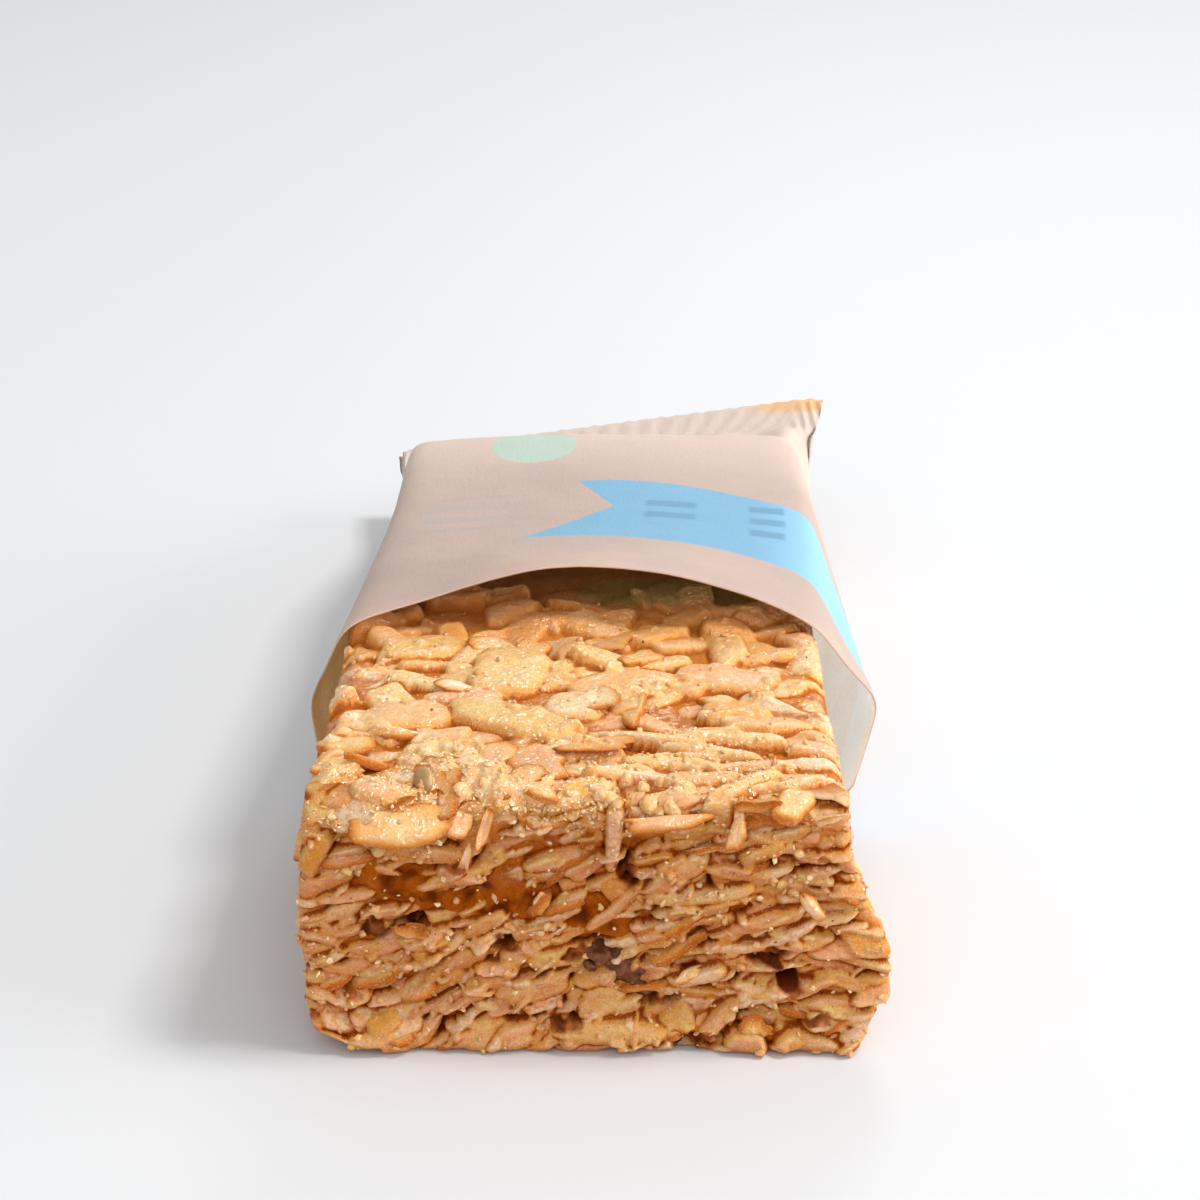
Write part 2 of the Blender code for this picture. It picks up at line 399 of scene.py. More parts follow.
# Hollows torn into the bare end: x, z, half width, half height, depth.
tears = np.array([
    (3.9, 14.3, 0.9, 1.3, 2.7), (13.9, 15.3, 1.3, 0.7, 2.2), (13.6, 7.4, 1.2, 0.8, 2.6),
    (14.9, 5.2, 0.8, 1.2, 2.6), (8.8, 9.1, 1.0, 0.9, 2.2), (6.0, 3.8, 1.1, 0.7, 2.2),
    (8.6, 1.0, 1.7, 0.7, 2.2),
    (-9.1, 15.1, 0.9, 0.5, 2.2), (-12.2, 10.1, 0.9, 0.6, 2.6), (-14.8, 9.7, 1.3, 0.6, 2.4),
    (-5.1, 8.5, 0.9, 0.7, 2.6), (-1.0, 2.2, 0.9, 0.6, 2.8), (-0.2, 7.6, 0.7, 0.8, 2.6),
    (17.6, 15.0, 1.0, 0.4, 1.6), (16.4, 2.6, 1.2, 0.4, 1.8), (-17.0, 4.4, 0.8, 0.5, 1.8),
    (1.9, 7.3, 1.7, 1.2, 1.0), (4.3, 5.7, 2.0, 1.2, 1.2),
])


def tearDepth(x, z):
    spot = np.stack(np.broadcast_arrays(x, z, 0.0), -1)
    x = x + 1.4 * layeredNoise(spot, 1.5, 3, 51)
    z = z + 0.9 * layeredNoise(spot, 1.5, 3, 54)
    deepest = np.zeros(np.broadcast(x, z).shape)
    for tearX, tearZ, halfWide, halfHigh, depth in tears:
        inside = ((x - tearX) / halfWide) ** 2 + ((z - tearZ) / halfHigh) ** 2
        deepest = np.maximum(deepest, depth * (1 - ease(0.35, 1.7, inside)))
    return deepest


def bandShare(x, z):
    # the band of brown syrup and crumbs that crosses the bare end, falling to the right
    middle = 13.8 - 0.19 * (x + 15.5)
    along = ease(-18.5, -13, x) * (1 - ease(2.0, 6.5, x))
    return along * (1 - ease(0.9, 2.1, np.abs(z - middle)))


core = {
    "stepsAcross": 40, "stepsAlong": 84, "stepsUp": 20,
    "start": 4.6,
    "inset": 2.0,
    "cellSize": (6.5, 5.0, 1.5),
    "bed": 0.7,
}


def scatterCells(points, size, seed):
    # one random centre in every lattice cell. gives the distances, in cell sizes, to the nearest
    # two centres, and a random number for the nearest
    rng = np.random.default_rng(seed)
    jitter = rng.random((16, 16, 16, 3))
    number = rng.random((16, 16, 16))
    place = points / np.array(size)
    base = np.floor(place).astype(int)
    first = np.full(len(points), 9.0)
    second = np.full(len(points), 9.0)
    own = np.zeros(len(points))
    for step in np.ndindex(3, 3, 3):
        cell = base + np.array(step) - 1
        a, b, c = (cell % 16).T
        apart = np.linalg.norm(cell + jitter[a, b, c] - place, axis=-1)
        closer = apart < first
        second = np.where(closer, first, np.minimum(second, apart))
        own = np.where(closer, number[a, b, c], own)
        first = np.where(closer, apart, first)
    return first, second, own


def boxShell(xs, ys, zs):
    # a closed box of square cells: its points and its faces
    counts = (len(xs), len(ys), len(zs))
    keys, faces = [], []
    for axis in range(3):
        one, other = [k for k in range(3) if k != axis]
        a, b = np.meshgrid(np.arange(counts[one]), np.arange(counts[other]), indexing="ij")
        for end in (0, counts[axis] - 1):
            index = [None, None, None]
            index[one], index[other], index[axis] = a, b, np.full_like(a, end)
            key = index[0] + counts[0] * (index[1] + counts[1] * index[2])
            quads = gridQuads(key)
            outwards = (end > 0) != (axis == 1)
            faces.append(quads if outwards else quads[:, ::-1])
            keys.append(key.ravel())
    unique = np.unique(np.concatenate(keys))
    faces = np.searchsorted(unique, np.concatenate(faces))
    i, rest = unique % counts[0], unique // counts[0]
    points = np.stack([xs[i], ys[rest % counts[1]], zs[rest // counts[1]]], -1)
    return points, faces


def envelope(points):
    # from the plain box of the bar to its real outline: the spread sides near the bare end, the
    # foot, the worn corner and the sideways bend
    x, y, z = points[..., 0], points[..., 1], points[..., 2]
    half = barForm["half"]
    side = np.clip(x / half, -1.2, 1.2)
    push = np.where(side > 0, sideOut("right", y, z) - half, half - sideOut("left", y, z)) * np.abs(side) ** 3
    lowHalf = 1 - ease(0, topZ / 2, z)
    hidden = ease(34, 46, y)
    newX = (x + push) * (1 - 0.03 * hidden) + bend(y)
    newY = y + faceDepth(x, z) * bell(y, 0, 4.0)
    newZ = z + lowest(x, y) * lowHalf + core["bed"] * hidden * lowHalf
    return np.stack([newX, newY, np.maximum(newZ, oatFloor)], -1)


def makeCore(finish):
    # the inside of the bare end, and the whole of what the paper hides
    half = barForm["half"]
    points, faces = boxShell(np.linspace(-half, half, core["stepsAcross"] + 1),
                             np.linspace(core["start"], barLength, core["stepsAlong"] + 1),
                             np.linspace(0, topZ, core["stepsUp"] + 1))
    low, high = np.array([-half, core["start"], 0]), np.array([half, barLength, topZ])
    inner = np.clip(points, low + barForm["round"], high - barForm["round"])
    out = points - inner
    out /= np.maximum(np.linalg.norm(out, axis=-1, keepdims=True), 1e-9)
    points = inner + out * barForm["round"]
    hidden = ease(38, 45, points[:, 1])
    first, second, own = scatterCells(points, core["cellSize"], 21)
    gap = np.exp(-(second - first) / 0.16)
    relief = (own - 0.5) * 0.5 - 0.4 * gap + 0.2 * layeredNoise(points, 2.2, 3, 9) - 0.25
    relief = relief * (0.3 + 0.7 * hidden) - core["inset"] * (1 - hidden)
    relief -= paperLean(*points.T)
    # painted shade: the core behind the bare end, seen in its pits, is darkened, and more in the creases
    # between its cells
    looks = lookValues(len(points), tone=own, rim=gap, syrup=1 - hidden, deep=0.7 * (1 - hidden),
                       line=0.6 * gap)
    made = putMesh("oatCore", envelope(points + out * relief[:, None]), [faces], [finish], looks)
    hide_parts("bar")


flakeEdge = {"cliff": 3.5, "cliffLeast": 0.35, "cliffByWidth": 0.45}


def layFlakes(us, vs, bed, seed, ragged=1.0, under=None, rough=0.06, nibbled=0.08, tooth=0.8, lying=True,
              steep=0.4):
    # A bed of flakes over a grid. With s and t the distances along and across a flake over its half
    # sizes, a flake covers |s|^3.6 + |t|^2.4 < 1, ragged by noise and broken off straight at one
    # side. It stands at its level plus its slopes plus its rise times what is left of 1 to the
    # power steep. Past 1 it falls off, more steeply the wider it is. The highest flake wins.
    # Lying on another bed, a level counts from that bed's height.
    # Gives the height, the winner's outline value (1 at its rim) and its tone.
    u, v = np.meshgrid(us, vs, indexing="ij")
    spot = np.stack([u, v, np.full_like(u, seed * 3.7)], -1)
    nibble = 0.22 * layeredNoise(spot, tooth, 2, seed + 3) + nibbled * softNoise(spot, 0.3, seed + 4)
    nibble = ragged * nibble
    layers = 3 if nibbled else 2
    u = u + ragged * 0.3 * layeredNoise(spot, tooth * 1.9, layers, seed + 1)
    v = v + ragged * 0.24 * layeredNoise(spot, tooth * 1.9, layers, seed + 2)
    if under is None:
        height, rim, tone = np.full(u.shape, -9.0), np.ones(u.shape), np.zeros(u.shape)
        base = np.zeros(u.shape)
    else:
        height, rim, tone = (value.copy() for value in under)
        base = under[0] if lying else 0 * under[0]
    rng = np.random.default_rng(seed + 900)
    for centreU, centreV, halfU, halfV, angle, level, rise, slopeU, slopeV, bow, own in zip(*bed):
        reach = max(halfU, halfV) + 1.0
        i = slice(*np.searchsorted(us, (centreU - reach, centreU + reach)))
        j = slice(*np.searchsorted(vs, (centreV - reach, centreV + reach)))
        cutAngle, cutAt = rng.uniform(0, 6.3), rng.uniform(0.35, 1.4)
        if i.start == i.stop or j.start == j.stop:
            continue
        middle = min((i.start + i.stop) // 2, len(us) - 1), min((j.start + j.stop) // 2, len(vs) - 1)
        level = level + base[middle]
        fromU, fromV = u[i, j] - centreU, v[i, j] - centreV
        along = fromU * math.cos(angle) + fromV * math.sin(angle)
        across = fromV * math.cos(angle) - fromU * math.sin(angle) - bow * along ** 2
        s, t = along / halfU, across / halfV
        outline = np.abs(s) ** 3.6 + np.abs(t) ** 2.4
        broken = (s * math.cos(cutAngle) + t * math.sin(cutAngle)) / cutAt
        outline = np.maximum(outline, np.maximum(broken, 0) ** 4) + nibble[i, j]
        beyond = np.maximum(0, outline - 1)
        grain = np.stack([along / 1.6, across / 0.36, along * 0 + own * 90], -1)
        top = level + slopeU * along + slopeV * across + rise * np.maximum(0, 1 - outline) ** steep
        fall = flakeEdge["cliff"] * (flakeEdge["cliffLeast"] + flakeEdge["cliffByWidth"] * min(halfU, halfV))
        top += rough * softNoise(grain, 1.0, 3) - fall * beyond
        wins = (outline < 2) & (top > height[i, j])
        height[i, j][wins] = top[wins]
        rim[i, j][wins] = np.clip(outline[wins], 0, 1)
        tone[i, j][wins] = own
    return height, rim, tone


def withShards(rng, us, vs, under, count, angle, seed):
    # splinters and crumbs of flake lying on a bed, at the angles given by a function of u
    spots = np.stack([rng.uniform(us[0], us[-1], count), rng.uniform(vs[0], vs[-1], count)], 1)
    shape = rng.uniform(0, 1, count) ** 1.6
    turn = angle(spots[:, 0]) + rng.normal(0, 0.5, count)
    bed = flakeBed(rng, spots, 0.3 + 1.2 * shape, (0.16, 0.48), turn, (-0.3, 0.12), (0.2, 0.4), 0.1, 0.4)
    return layFlakes(us, vs, bed, seed, 1.1, under)


def reliefLooks(height, wide, narrow, tone, rim, syrup, wet, least=0.11):
    # What the shader takes from a relief: deep is 1 far down a broad hollow, line is 1 in the narrow
    # crease at the foot of a step, peak is 1 where the surface stands above what is around it. The
    # shader paints hollows and creases with the syrup's amber and with painted shade, and peaks with
    # painted light.
    broad, fine = blurred(height, wide) - height, blurred(height, narrow) - height
    return {"tone": tone, "rim": rim, "syrup": syrup, "wet": wet,
            "deep": np.clip(broad / 0.7 - (height + 0.7) / 3.0, 0, 1),
            "line": np.clip(fine / least, 0, 1), "peak": np.clip(-broad / 0.4, 0, 1)}


def smoothMost(one, other, reach):
    # the larger of two surfaces, with the corner between them filled over the reach
    share = np.clip(0.5 + 0.5 * (one - other) / reach, 0, 1)
    return other * (1 - share) + one * share + reach * share * (1 - share)


def filledUp(height, fill, passes, reach=0.16):
    # syrup up to its own level in a relief: where it shows, and the smoothed whole
    return ease(-0.12, 0.12, fill - height), smoothMost(blurred(height, passes), fill, reach)


def blurred(values, passes):
    # the running average along both directions of the grid
    return softened(softened(values, passes).T, passes).T


def flakeBed(rng, spots, halfLong, halfAcross, angle, level, rise, slopeU, slopeV, bow=0.02):
    # one row of numbers for each flake of layFlakes. a pair is a range, an array is taken as it is
    count = len(spots)

    def own(value):
        return rng.uniform(*value, count) if isinstance(value, tuple) else value
    return [spots[:, 0], spots[:, 1], own(halfLong), own(halfAcross), angle, own(level), own(rise),
            rng.normal(0, slopeU, count), rng.normal(0, slopeV, count), rng.normal(0, bow, count),
            rng.random(count)]


def specBed(rng, spots, spec, angle, slopeU, slopeV):
    # a bed whose ranges stand in a face's dictionary
    return flakeBed(rng, spots, spec["halfLong"], spec["halfAcross"], angle, spec["level"], spec["rise"],
                    slopeU, slopeV)


def softened(values, passes):
    # running average along the first axis, with the ends held
    for _ in range(passes):
        padded = np.concatenate([values[:1], values, values[-1:]])
        values = (padded[:-2] + 2 * padded[1:-1] + padded[2:]) / 4
    return values


def ownBed(rows):
    # placed flakes as a bed for layFlakes: they don't climb along their length, and don't bow
    u, v, halfLong, halfAcross, angle, level, rise, slope, tone = np.array(rows).T
    none = np.zeros(len(u))
    return [u, v, halfLong, halfAcross, angle, level, rise, none, slope, none, tone]


def jittered(rng, across, along, low, high, share=0.45):
    # places on a grid of across by along cells between low and high, each moved at random
    a, b = np.meshgrid(np.arange(across) + 0.5, np.arange(along) + 0.5, indexing="ij")
    spot = np.stack([a, b], -1).reshape(-1, 2) + rng.uniform(-share, share, (across * along, 2))
    return low + spot / (across, along) * (np.array(high) - low)


def roundOff(*beyond, r=barForm["round"]):
    # depth of a rounded edge, from how far a point is past the start of each rounding
    total = sum(np.maximum(0, value) ** 2 for value in beyond)
    return r - np.sqrt(np.maximum(0, r * r - total)) + np.sqrt(np.maximum(0, total - r * r)) * 0.6


def makeSlab(name, finish, us, vs, place, height, values, skirt, turn):
    # a closed slab: the relief on one side, walls going in from its border, and a fan behind.
    # place turns grid numbers and a height into box points. skirt is how far in the walls go.
    u, v = np.meshgrid(us, vs, indexing="ij")
    surface = place(u, v, height)
    rows, columns = u.shape
    number = np.arange(rows * columns).reshape(rows, columns)
    border = np.concatenate([number[:-1, 0], number[-1, :-1], number[:0:-1, -1], number[0, :0:-1]])
    middle = surface.reshape(-1, 3).mean(0)
    inwards = place(u, v, height - skirt).reshape(-1, 3)[border]
    inwards = inwards + (middle - inwards) * 0.06
    wall = rows * columns + np.arange(len(border))
    sides = np.stack([border, wall, np.roll(wall, -1), np.roll(border, -1)], -1)
    pole = np.full(len(border), rows * columns + len(border))
    fan = np.stack([wall, pole, np.roll(wall, -1)], -1)
    points = np.concatenate([surface.reshape(-1, 3), inwards, inwards.mean(0)[None]])
    faces = [gridQuads(number), sides, fan]
    if turn:
        faces = [part[:, ::-1] for part in faces]
    extra = len(points) - rows * columns
    filled = {key: np.concatenate([np.ravel(value), np.full(extra, 0.5)]) for key, value in values.items()}
    points = envelope(points)
    made = putMesh(name, points, faces, [finish], filled)
    return points[:rows * columns]


# Each row: middle (2), half length, half width, angle, level, rise, slope across, tone.
endOwn = [
    (2.7, 17.7, 3.0, 0.55, 1.52, 0.35, 0.5, 0.0, 0.95),
    (-19.2, 15.6, 2.2, 0.8, 1.15, 0.15, 0.4, 0.0, 0.0),
    (6.6, 14.3, 3.1, 0.85, 0.4, -0.05, 0.5, 0.1, 0.45),
    (9.0, 12.9, 3.9, 0.75, 0.1, -0.05, 0.5, -0.2, 0.75),
    (8.6, 6.1, 2.0, 0.75, 0.2, 0.1, 0.5, 0.0, 0.9),
    (2.2, 1.7, 4.3, 0.85, -0.05, -0.05, 0.5, 0.3, 0.6),
    (-3.0, 4.8, 2.6, 0.9, 0.3, -0.15, 0.5, 0.2, 0.5),
    (-6.5, 5.6, 2.4, 0.95, 0.6, -0.2, 0.5, 0.2, 0.4),
    (-1.5, 7.3, 2.3, 0.8, 0.15, -0.2, 0.5, 0.2, 0.7),
    (-11.5, 15.9, 3.1, 0.8, -0.1, -0.2, 0.5, 0.3, 0.5),
    (-9.3, 13.8, 2.6, 0.55, 0.3, -0.25, 0.4, 0.2, 0.65),
    (12.5, 10.2, 3.4, 0.6, 0.25, -0.3, 0.5, 0.2, 0.35),
    (13.7, 17.3, 3.6, 0.8, 0.22, -0.3, 0.5, 0.1, 0.6),
]

endFace = {
    "step": 0.105,
    "across": 17, "up": 27,
    "halfLong": (1.0, 2.8), "halfAcross": (0.36, 0.78),
    "level": (-1.9, -0.35), "rise": (0.35, 0.6),
    "fill": -1.35, "shards": 380, "round": 0.9,
    "turn": 0.24,  # spread of the flakes' angles
    "bandThin": 0.8,  # share of the flakes that the syrup band leaves out
    "wideShare": 0.13, "widened": 1.9, "shortened": 0.75,
    "flattened": 0.92, "skirt": 4.0,
}


def riseOfLayers(x):
    # the angle at which the pressed layers climb to the right, steeper on the left
    return 0.33 * (1 - ease(3, 15, x)) + 0.06


def makeEndFace(finish):
    # the torn end, where most flakes are seen edge on
    rng = np.random.default_rng(11)
    spec, half = endFace, barForm["half"]
    us = np.linspace(-half, half, int(2 * half / spec["step"]) + 1)
    vs = np.linspace(0, topZ, int(topZ / spec["step"]) + 1)
    spots = jittered(rng, spec["across"], spec["up"], (-21, 0), (21, 20.6))
    spots = spots[rng.random(len(spots)) > bandShare(spots[:, 0], spots[:, 1]) * spec["bandThin"]]
    angle = riseOfLayers(spots[:, 0]) + rng.normal(0, spec["turn"], len(spots))
    bed = specBed(rng, spots, spec, angle, 0.12, 0.5)
    wide = rng.random(len(spots)) < spec["wideShare"]  # these lie facing forward and show their breadth
    bed[3] = np.where(wide, bed[3] * spec["widened"], bed[3])
    bed[2] = np.where(wide, bed[2] * spec["shortened"], bed[2])
    under = layFlakes(us, vs, bed, 3, ragged=0.8)
    under = layFlakes(us, vs, ownBed(endOwn), 4, 0.6, under, lying=False)
    height, rim, tone = withShards(rng, us, vs, under, spec["shards"], riseOfLayers, 13)
    u, v, spot = gridPlaces(us, vs)
    band = bandShare(u, v)
    fill = spec["fill"] + 0.75 * layeredNoise(spot, 3.0, 3, 5) + band * 0.9
    fill += (0.16 + 0.2 * band) * layeredNoise(spot, 0.7, 3, 8)
    syrup, height = filledUp(height, fill, 1)
    height = spec["flattened"] * height
    height += 0.05 * layeredNoise(spot, 0.5, 3, 31) + 0.08 * layeredNoise(spot, 2.0, 3, 32)
    looks = reliefLooks(height, 16, 4, tone, rim, syrup, 0.25 + 0.1 * band)
    looks["deep"] = np.maximum(looks["deep"], band * syrup * (0.75 + 0.5 * layeredNoise(spot, 1.2, 3, 9)))
    torn = tearDepth(u, v)
    height = height * (0.7 + 0.3 * ease(0, 2.6, v)) - torn * (1 - 0.85 * ease(-0.95, -0.6, height))
    height += torn * 0.4 * layeredNoise(spot, 0.8, 3, 58)
    height += 0.32 * band * syrup * layeredNoise(spot, 0.45, 3, 33)
    # painted shade: the torn pits are painted dark inside
    pit = ease(0.3, 2.4, torn) * (0.85 + 0.5 * layeredNoise(spot, 0.8, 2, 59))
    looks["deep"] = np.maximum(looks["deep"], pit)

    def place(x, z, up):
        r = spec["round"]
        edge = roundOff(np.abs(x) - half + r, np.maximum(z - topZ + r, r - z), r=r)
        return np.stack([x, edge - up, z], -1)
    return makeSlab("endFace", finish, us, vs, place, height, looks, spec["skirt"], False)


topOwn = [
    (-5.1, 15.3, 5.9, 2.5, -0.6, -0.1, 0.6, -0.05, 0.7),
    (-5.8, 26.0, 4.8, 3.2, 1.4, -0.2, 0.6, 0.0, 0.75),
    (12.5, 17.0, 2.8, 2.4, 0.0, -0.3, 0.5, 0.0, 0.05),
    (10.0, 8.4, 4.1, 0.8, -0.32, 0.0, 0.6, 0.0, 0.6),
    (9.1, 3.4, 3.7, 0.95, 0.0, -0.1, 0.7, 0.0, 0.55),
    (12.0, 1.9, 4.3, 0.85, 0.72, 0.0, 0.6, 0.0, 0.7),
    (7.4, 6.2, 4.3, 0.8, -0.12, -0.1, 0.6, 0.0, 0.65),
    (13.2, 5.9, 3.0, 0.75, 0.1, -0.2, 0.5, 0.0, 0.4),
    (5.2, 11.2, 4.6, 0.95, -0.15, -0.2, 0.6, 0.0, 0.6),
    (11.8, 11.6, 4.4, 0.9, -0.1, -0.2, 0.6, 0.0, 0.7),
    (-13.6, 16.6, 3.4, 2.4, 0.1, -0.3, 0.5, 0.0, 0.45),
    (-14.0, 31.5, 4.3, 2.6, 0.05, -0.3, 0.5, 0.0, 0.7),
    (3.5, 23.5, 4.6, 2.7, 0.3, -0.5, 0.5, 0.0, 0.5),
    (12.0, 25.0, 4.4, 2.6, -0.2, -0.5, 0.5, 0.0, 0.35),
]

topFace = {
    "stepAcross": 0.145, "stepNear": 0.12, "stepFar": 0.25,
    "end": 45.0,
    "across": 11, "along": 12,
    "halfLong": (2.2, 4.2), "halfAcross": (1.3, 2.4),
    "level": (-1.7, -0.25), "rise": (0.35, 0.65),
    "fill": -1.15, "shards": 260, "bubble": (1.15, 0.95, 1.0),
    "rows": 243,
    "turn": (0.15, 0.9),  # middle and spread of the flakes' angles
    "stripsFrom": 2, "stripsTo": 14, "stripWidth": 0.42, "stripTurn": (0.1, 0.22),
    "flattened": 0.85, "raised": 0.25, "skirt": 3.0,
}


def makeTopFace(finish):
    # the top: broad flakes lying flat, strips on edge at the right, and froth on the left
    rng = np.random.default_rng(17)
    spec, half = topFace, barForm["half"]
    us = np.linspace(-half, half, int(2 * half / spec["stepAcross"]) + 1)
    growth = np.linspace(spec["stepNear"], spec["stepFar"], spec["rows"])
    vs = np.concatenate([[0], np.cumsum(growth)])
    vs = vs / vs[-1] * spec["end"]
    spots = jittered(rng, spec["across"], spec["along"], (-21.5, -0.5), (21.5, spec["end"]))
    angle = rng.normal(*spec["turn"], len(spots))
    bed = specBed(rng, spots, spec, angle, 0.15, 0.22)
    # flakes on edge, lying across, at the right near the bare end
    strips = (spots[:, 0] > spec["stripsFrom"]) & (spots[:, 1] < spec["stripsTo"])
    bed[3] = np.where(strips, bed[3] * spec["stripWidth"], bed[3])
    bed[4] = np.where(strips, rng.normal(*spec["stripTurn"], len(spots)), bed[4])
    under = layFlakes(us, vs, bed, 7, 0.8, rough=0.04, nibbled=0.0, tooth=1.5)
    under = layFlakes(us, vs, ownBed(topOwn), 8, 0.6, under, rough=0.04, nibbled=0.0, tooth=1.7, lying=False,
                      steep=0.5)
    height, rim, tone = withShards(rng, us, vs, under, spec["shards"], lambda x: 0 * x, 37)
    u, v, spot = gridPlaces(us, vs)
    fill = spec["fill"] + 0.35 * layeredNoise(spot, 3.5, 3, 15) + 0.12 * layeredNoise(spot, 1.0, 2, 18)
    syrup, height = filledUp(height, fill, 2)
    height = spec["flattened"] * height
    pool = bell(u, -7, 11) * bell(v, 3, 6)
    wet = np.clip(0.3 + pool + 0.6 * layeredNoise(spot, 5.0, 3, 44), 0, 1)
    height += (0.03 + 0.07 * wet) * layeredNoise(spot, 0.6, 2, 41) + 0.14 * layeredNoise(spot, 2.4, 3, 42)
    apart = scatterCells(spot.reshape(-1, 3), spec["bubble"], 71)[0].reshape(u.shape)
    froth = ease(0.1, 0.45, pool * 0.7 + 0.45 * layeredNoise(spot, 4.0, 2, 48))
    looks = reliefLooks(height, 12, 4, tone, rim, syrup * (1 - froth), wet, 0.08)
    height += froth * 0.4 * np.sqrt(np.maximum(0, 1 - (apart / 0.62) ** 2))
    looks["line"] *= 1 - 0.7 * froth
    # painted light: the froth's bubbles are paler on their tops
    looks["peak"] = np.maximum(looks["peak"], 0.7 * froth * ease(0.6, 0.3, apart))
    # painted shade: the top darkens towards the paper's mouth, where the paper shades it
    looks["deep"] = np.clip(looks["deep"] + 0.15 * ease(25, 33, v), 0, 1)

    def place(x, y, up):
        edge = roundOff(np.abs(x) - half + barForm["round"], barForm["round"] - y)
        return np.stack([x, y, topZ + spec["raised"] - np.minimum(edge, 0.9) + up], -1)
    return makeSlab("topFace", finish, us, vs, place, height, looks, spec["skirt"], False)


sideFace = {
    "stepNear": 0.13, "stepFar": 0.33, "stepUp": 0.15,
    "end": 45.0,
    "along": 17, "up": 25,
    "halfLong": (1.2, 3.6), "halfAcross": (0.3, 0.85),
    "level": (-0.75, -0.2), "rise": (0.15, 0.35),
    "fill": -0.65, "shards": 700, "under": 1.3,
    "turn": 0.28, "pressedTo": 0.05, "pressedShare": 0.3, "skirt": 3.0,
}


def gradedSteps(near, far, end):
    # places from 0 to end whose steps grow evenly from near to far
    places = np.concatenate([[0], np.cumsum(np.linspace(near, far, round(2 * end / (near + far))))])
    return places / places[-1] * end


def makeSideFaces(finishes):
    # the long sides: layers pressed flat by the mould
    spec, half = sideFace, barForm["half"]
    us = gradedSteps(spec["stepNear"], spec["stepFar"], spec["end"])
    vs = np.linspace(0, topZ, int(topZ / spec["stepUp"]) + 1)
    u, v, spot = gridPlaces(us, vs)
    made = []
    # the right side takes the paler baked colours and the left the darker torn ones: painted light and
    # painted shade
    for sign, name, seed, finish in ((-1, "leftFace", 23, finishes[0]), (1, "rightFace", 29, finishes[1])):
        rng = np.random.default_rng(seed)
        spots = jittered(rng, spec["along"], spec["up"], (-0.5, 0), (spec["end"], 20.6), 0.8)
        angle = rng.normal(0.0, spec["turn"], len(spots))
        bed = specBed(rng, spots, spec, angle, 0.08, 0.3)
        under = layFlakes(us, vs, bed, seed, ragged=1.2)
        height, rim, tone = withShards(rng, us, vs, under, spec["shards"], lambda y: 0 * y, seed + 40)
        fill = spec["fill"] + 0.35 * layeredNoise(spot, 3.0, 3, seed + 5)
        syrup, height = filledUp(height, fill, 1)
        height = height + 0.12 * layeredNoise(spot, 0.8, 3, seed + 6)
        looks = reliefLooks(height, 8, 3, tone, rim, syrup, 0.2 + 0 * u)
        calm = 0.45 + 0.55 * ease(0.6, 3.5, u)
        height = height * calm - 0.25 * (1 - calm)
        looks["deep"], looks["line"] = looks["deep"] * calm, looks["line"] * calm
        # flat from the mould, but torn at the end
        pressed = np.minimum(height, spec["pressedTo"] + spec["pressedShare"] * height)
        height = height + (pressed - height) * ease(1.0, 5.0, u) + 0.35 * (1 - ease(0.5, 4.0, u))
        height -= 0.5 * ease(33, 37, u) + 0.7 * bell(v, topZ, 1.3)

        def place(y, z, up):
            r = barForm["round"]
            edge = roundOff(r - y, np.maximum(z - topZ + r, r - z))
            # the borders go in below the faces they meet
            return np.stack([sign * (half - edge + up), y + spec["under"] * (1 - ease(0, 2.4, y)),
                             z - spec["under"] * ease(topZ - 2.4, topZ, z)], -1)
        made.append(makeSlab(name, finish, us, vs, place, height, looks, spec["skirt"], sign < 0))
    return np.concatenate(made)


underFace = {
    "step": 0.3, "start": 1.2, "end": 45.0,
    "across": 11, "along": 12,
    "halfLong": (2.2, 4.2), "halfAcross": (1.3, 2.6),
    "level": (-1.0, -0.2), "rise": (0.3, 0.5),
    "fill": -0.9, "skirt": 2.0,
}


def makeUnderFace(finish):
    # the underside: flakes pressed flush, with shallow gaps between them
    rng = np.random.default_rng(91)
    spec, half = underFace, barForm["half"]
    us = np.linspace(-half, half, int(2 * half / spec["step"]) + 1)
    vs = np.linspace(spec["start"], spec["end"], int(spec["end"] / spec["step"]) + 1)
    spots = jittered(rng, spec["across"], spec["along"], (-20.5, -0.5), (20.5, spec["end"]))
    bed = specBed(rng, spots, spec, rng.uniform(0, 3.1, len(spots)), 0.03, 0.05)
    height, rim, tone = layFlakes(us, vs, bed, 97, ragged=0.9)
    u, _, spot = gridPlaces(us, vs)
    fill = spec["fill"] + 0.3 * layeredNoise(spot, 3.0, 3, 92)
    syrup, height = filledUp(height, fill, 1, 0.2)
    looks = reliefLooks(height, 5, 2, tone, rim, syrup, 0.2 + 0 * u)
    height = np.minimum(height, 0.06 * layeredNoise(spot, 1.2, 2, 93) - 0.08)

    def place(x, y, up):
        edge = roundOff(np.abs(x) - half + barForm["round"])
        return np.stack([x, y, edge - up], -1)
    return makeSlab("underFace", finish, us, vs, place, height, looks, spec["skirt"], True)


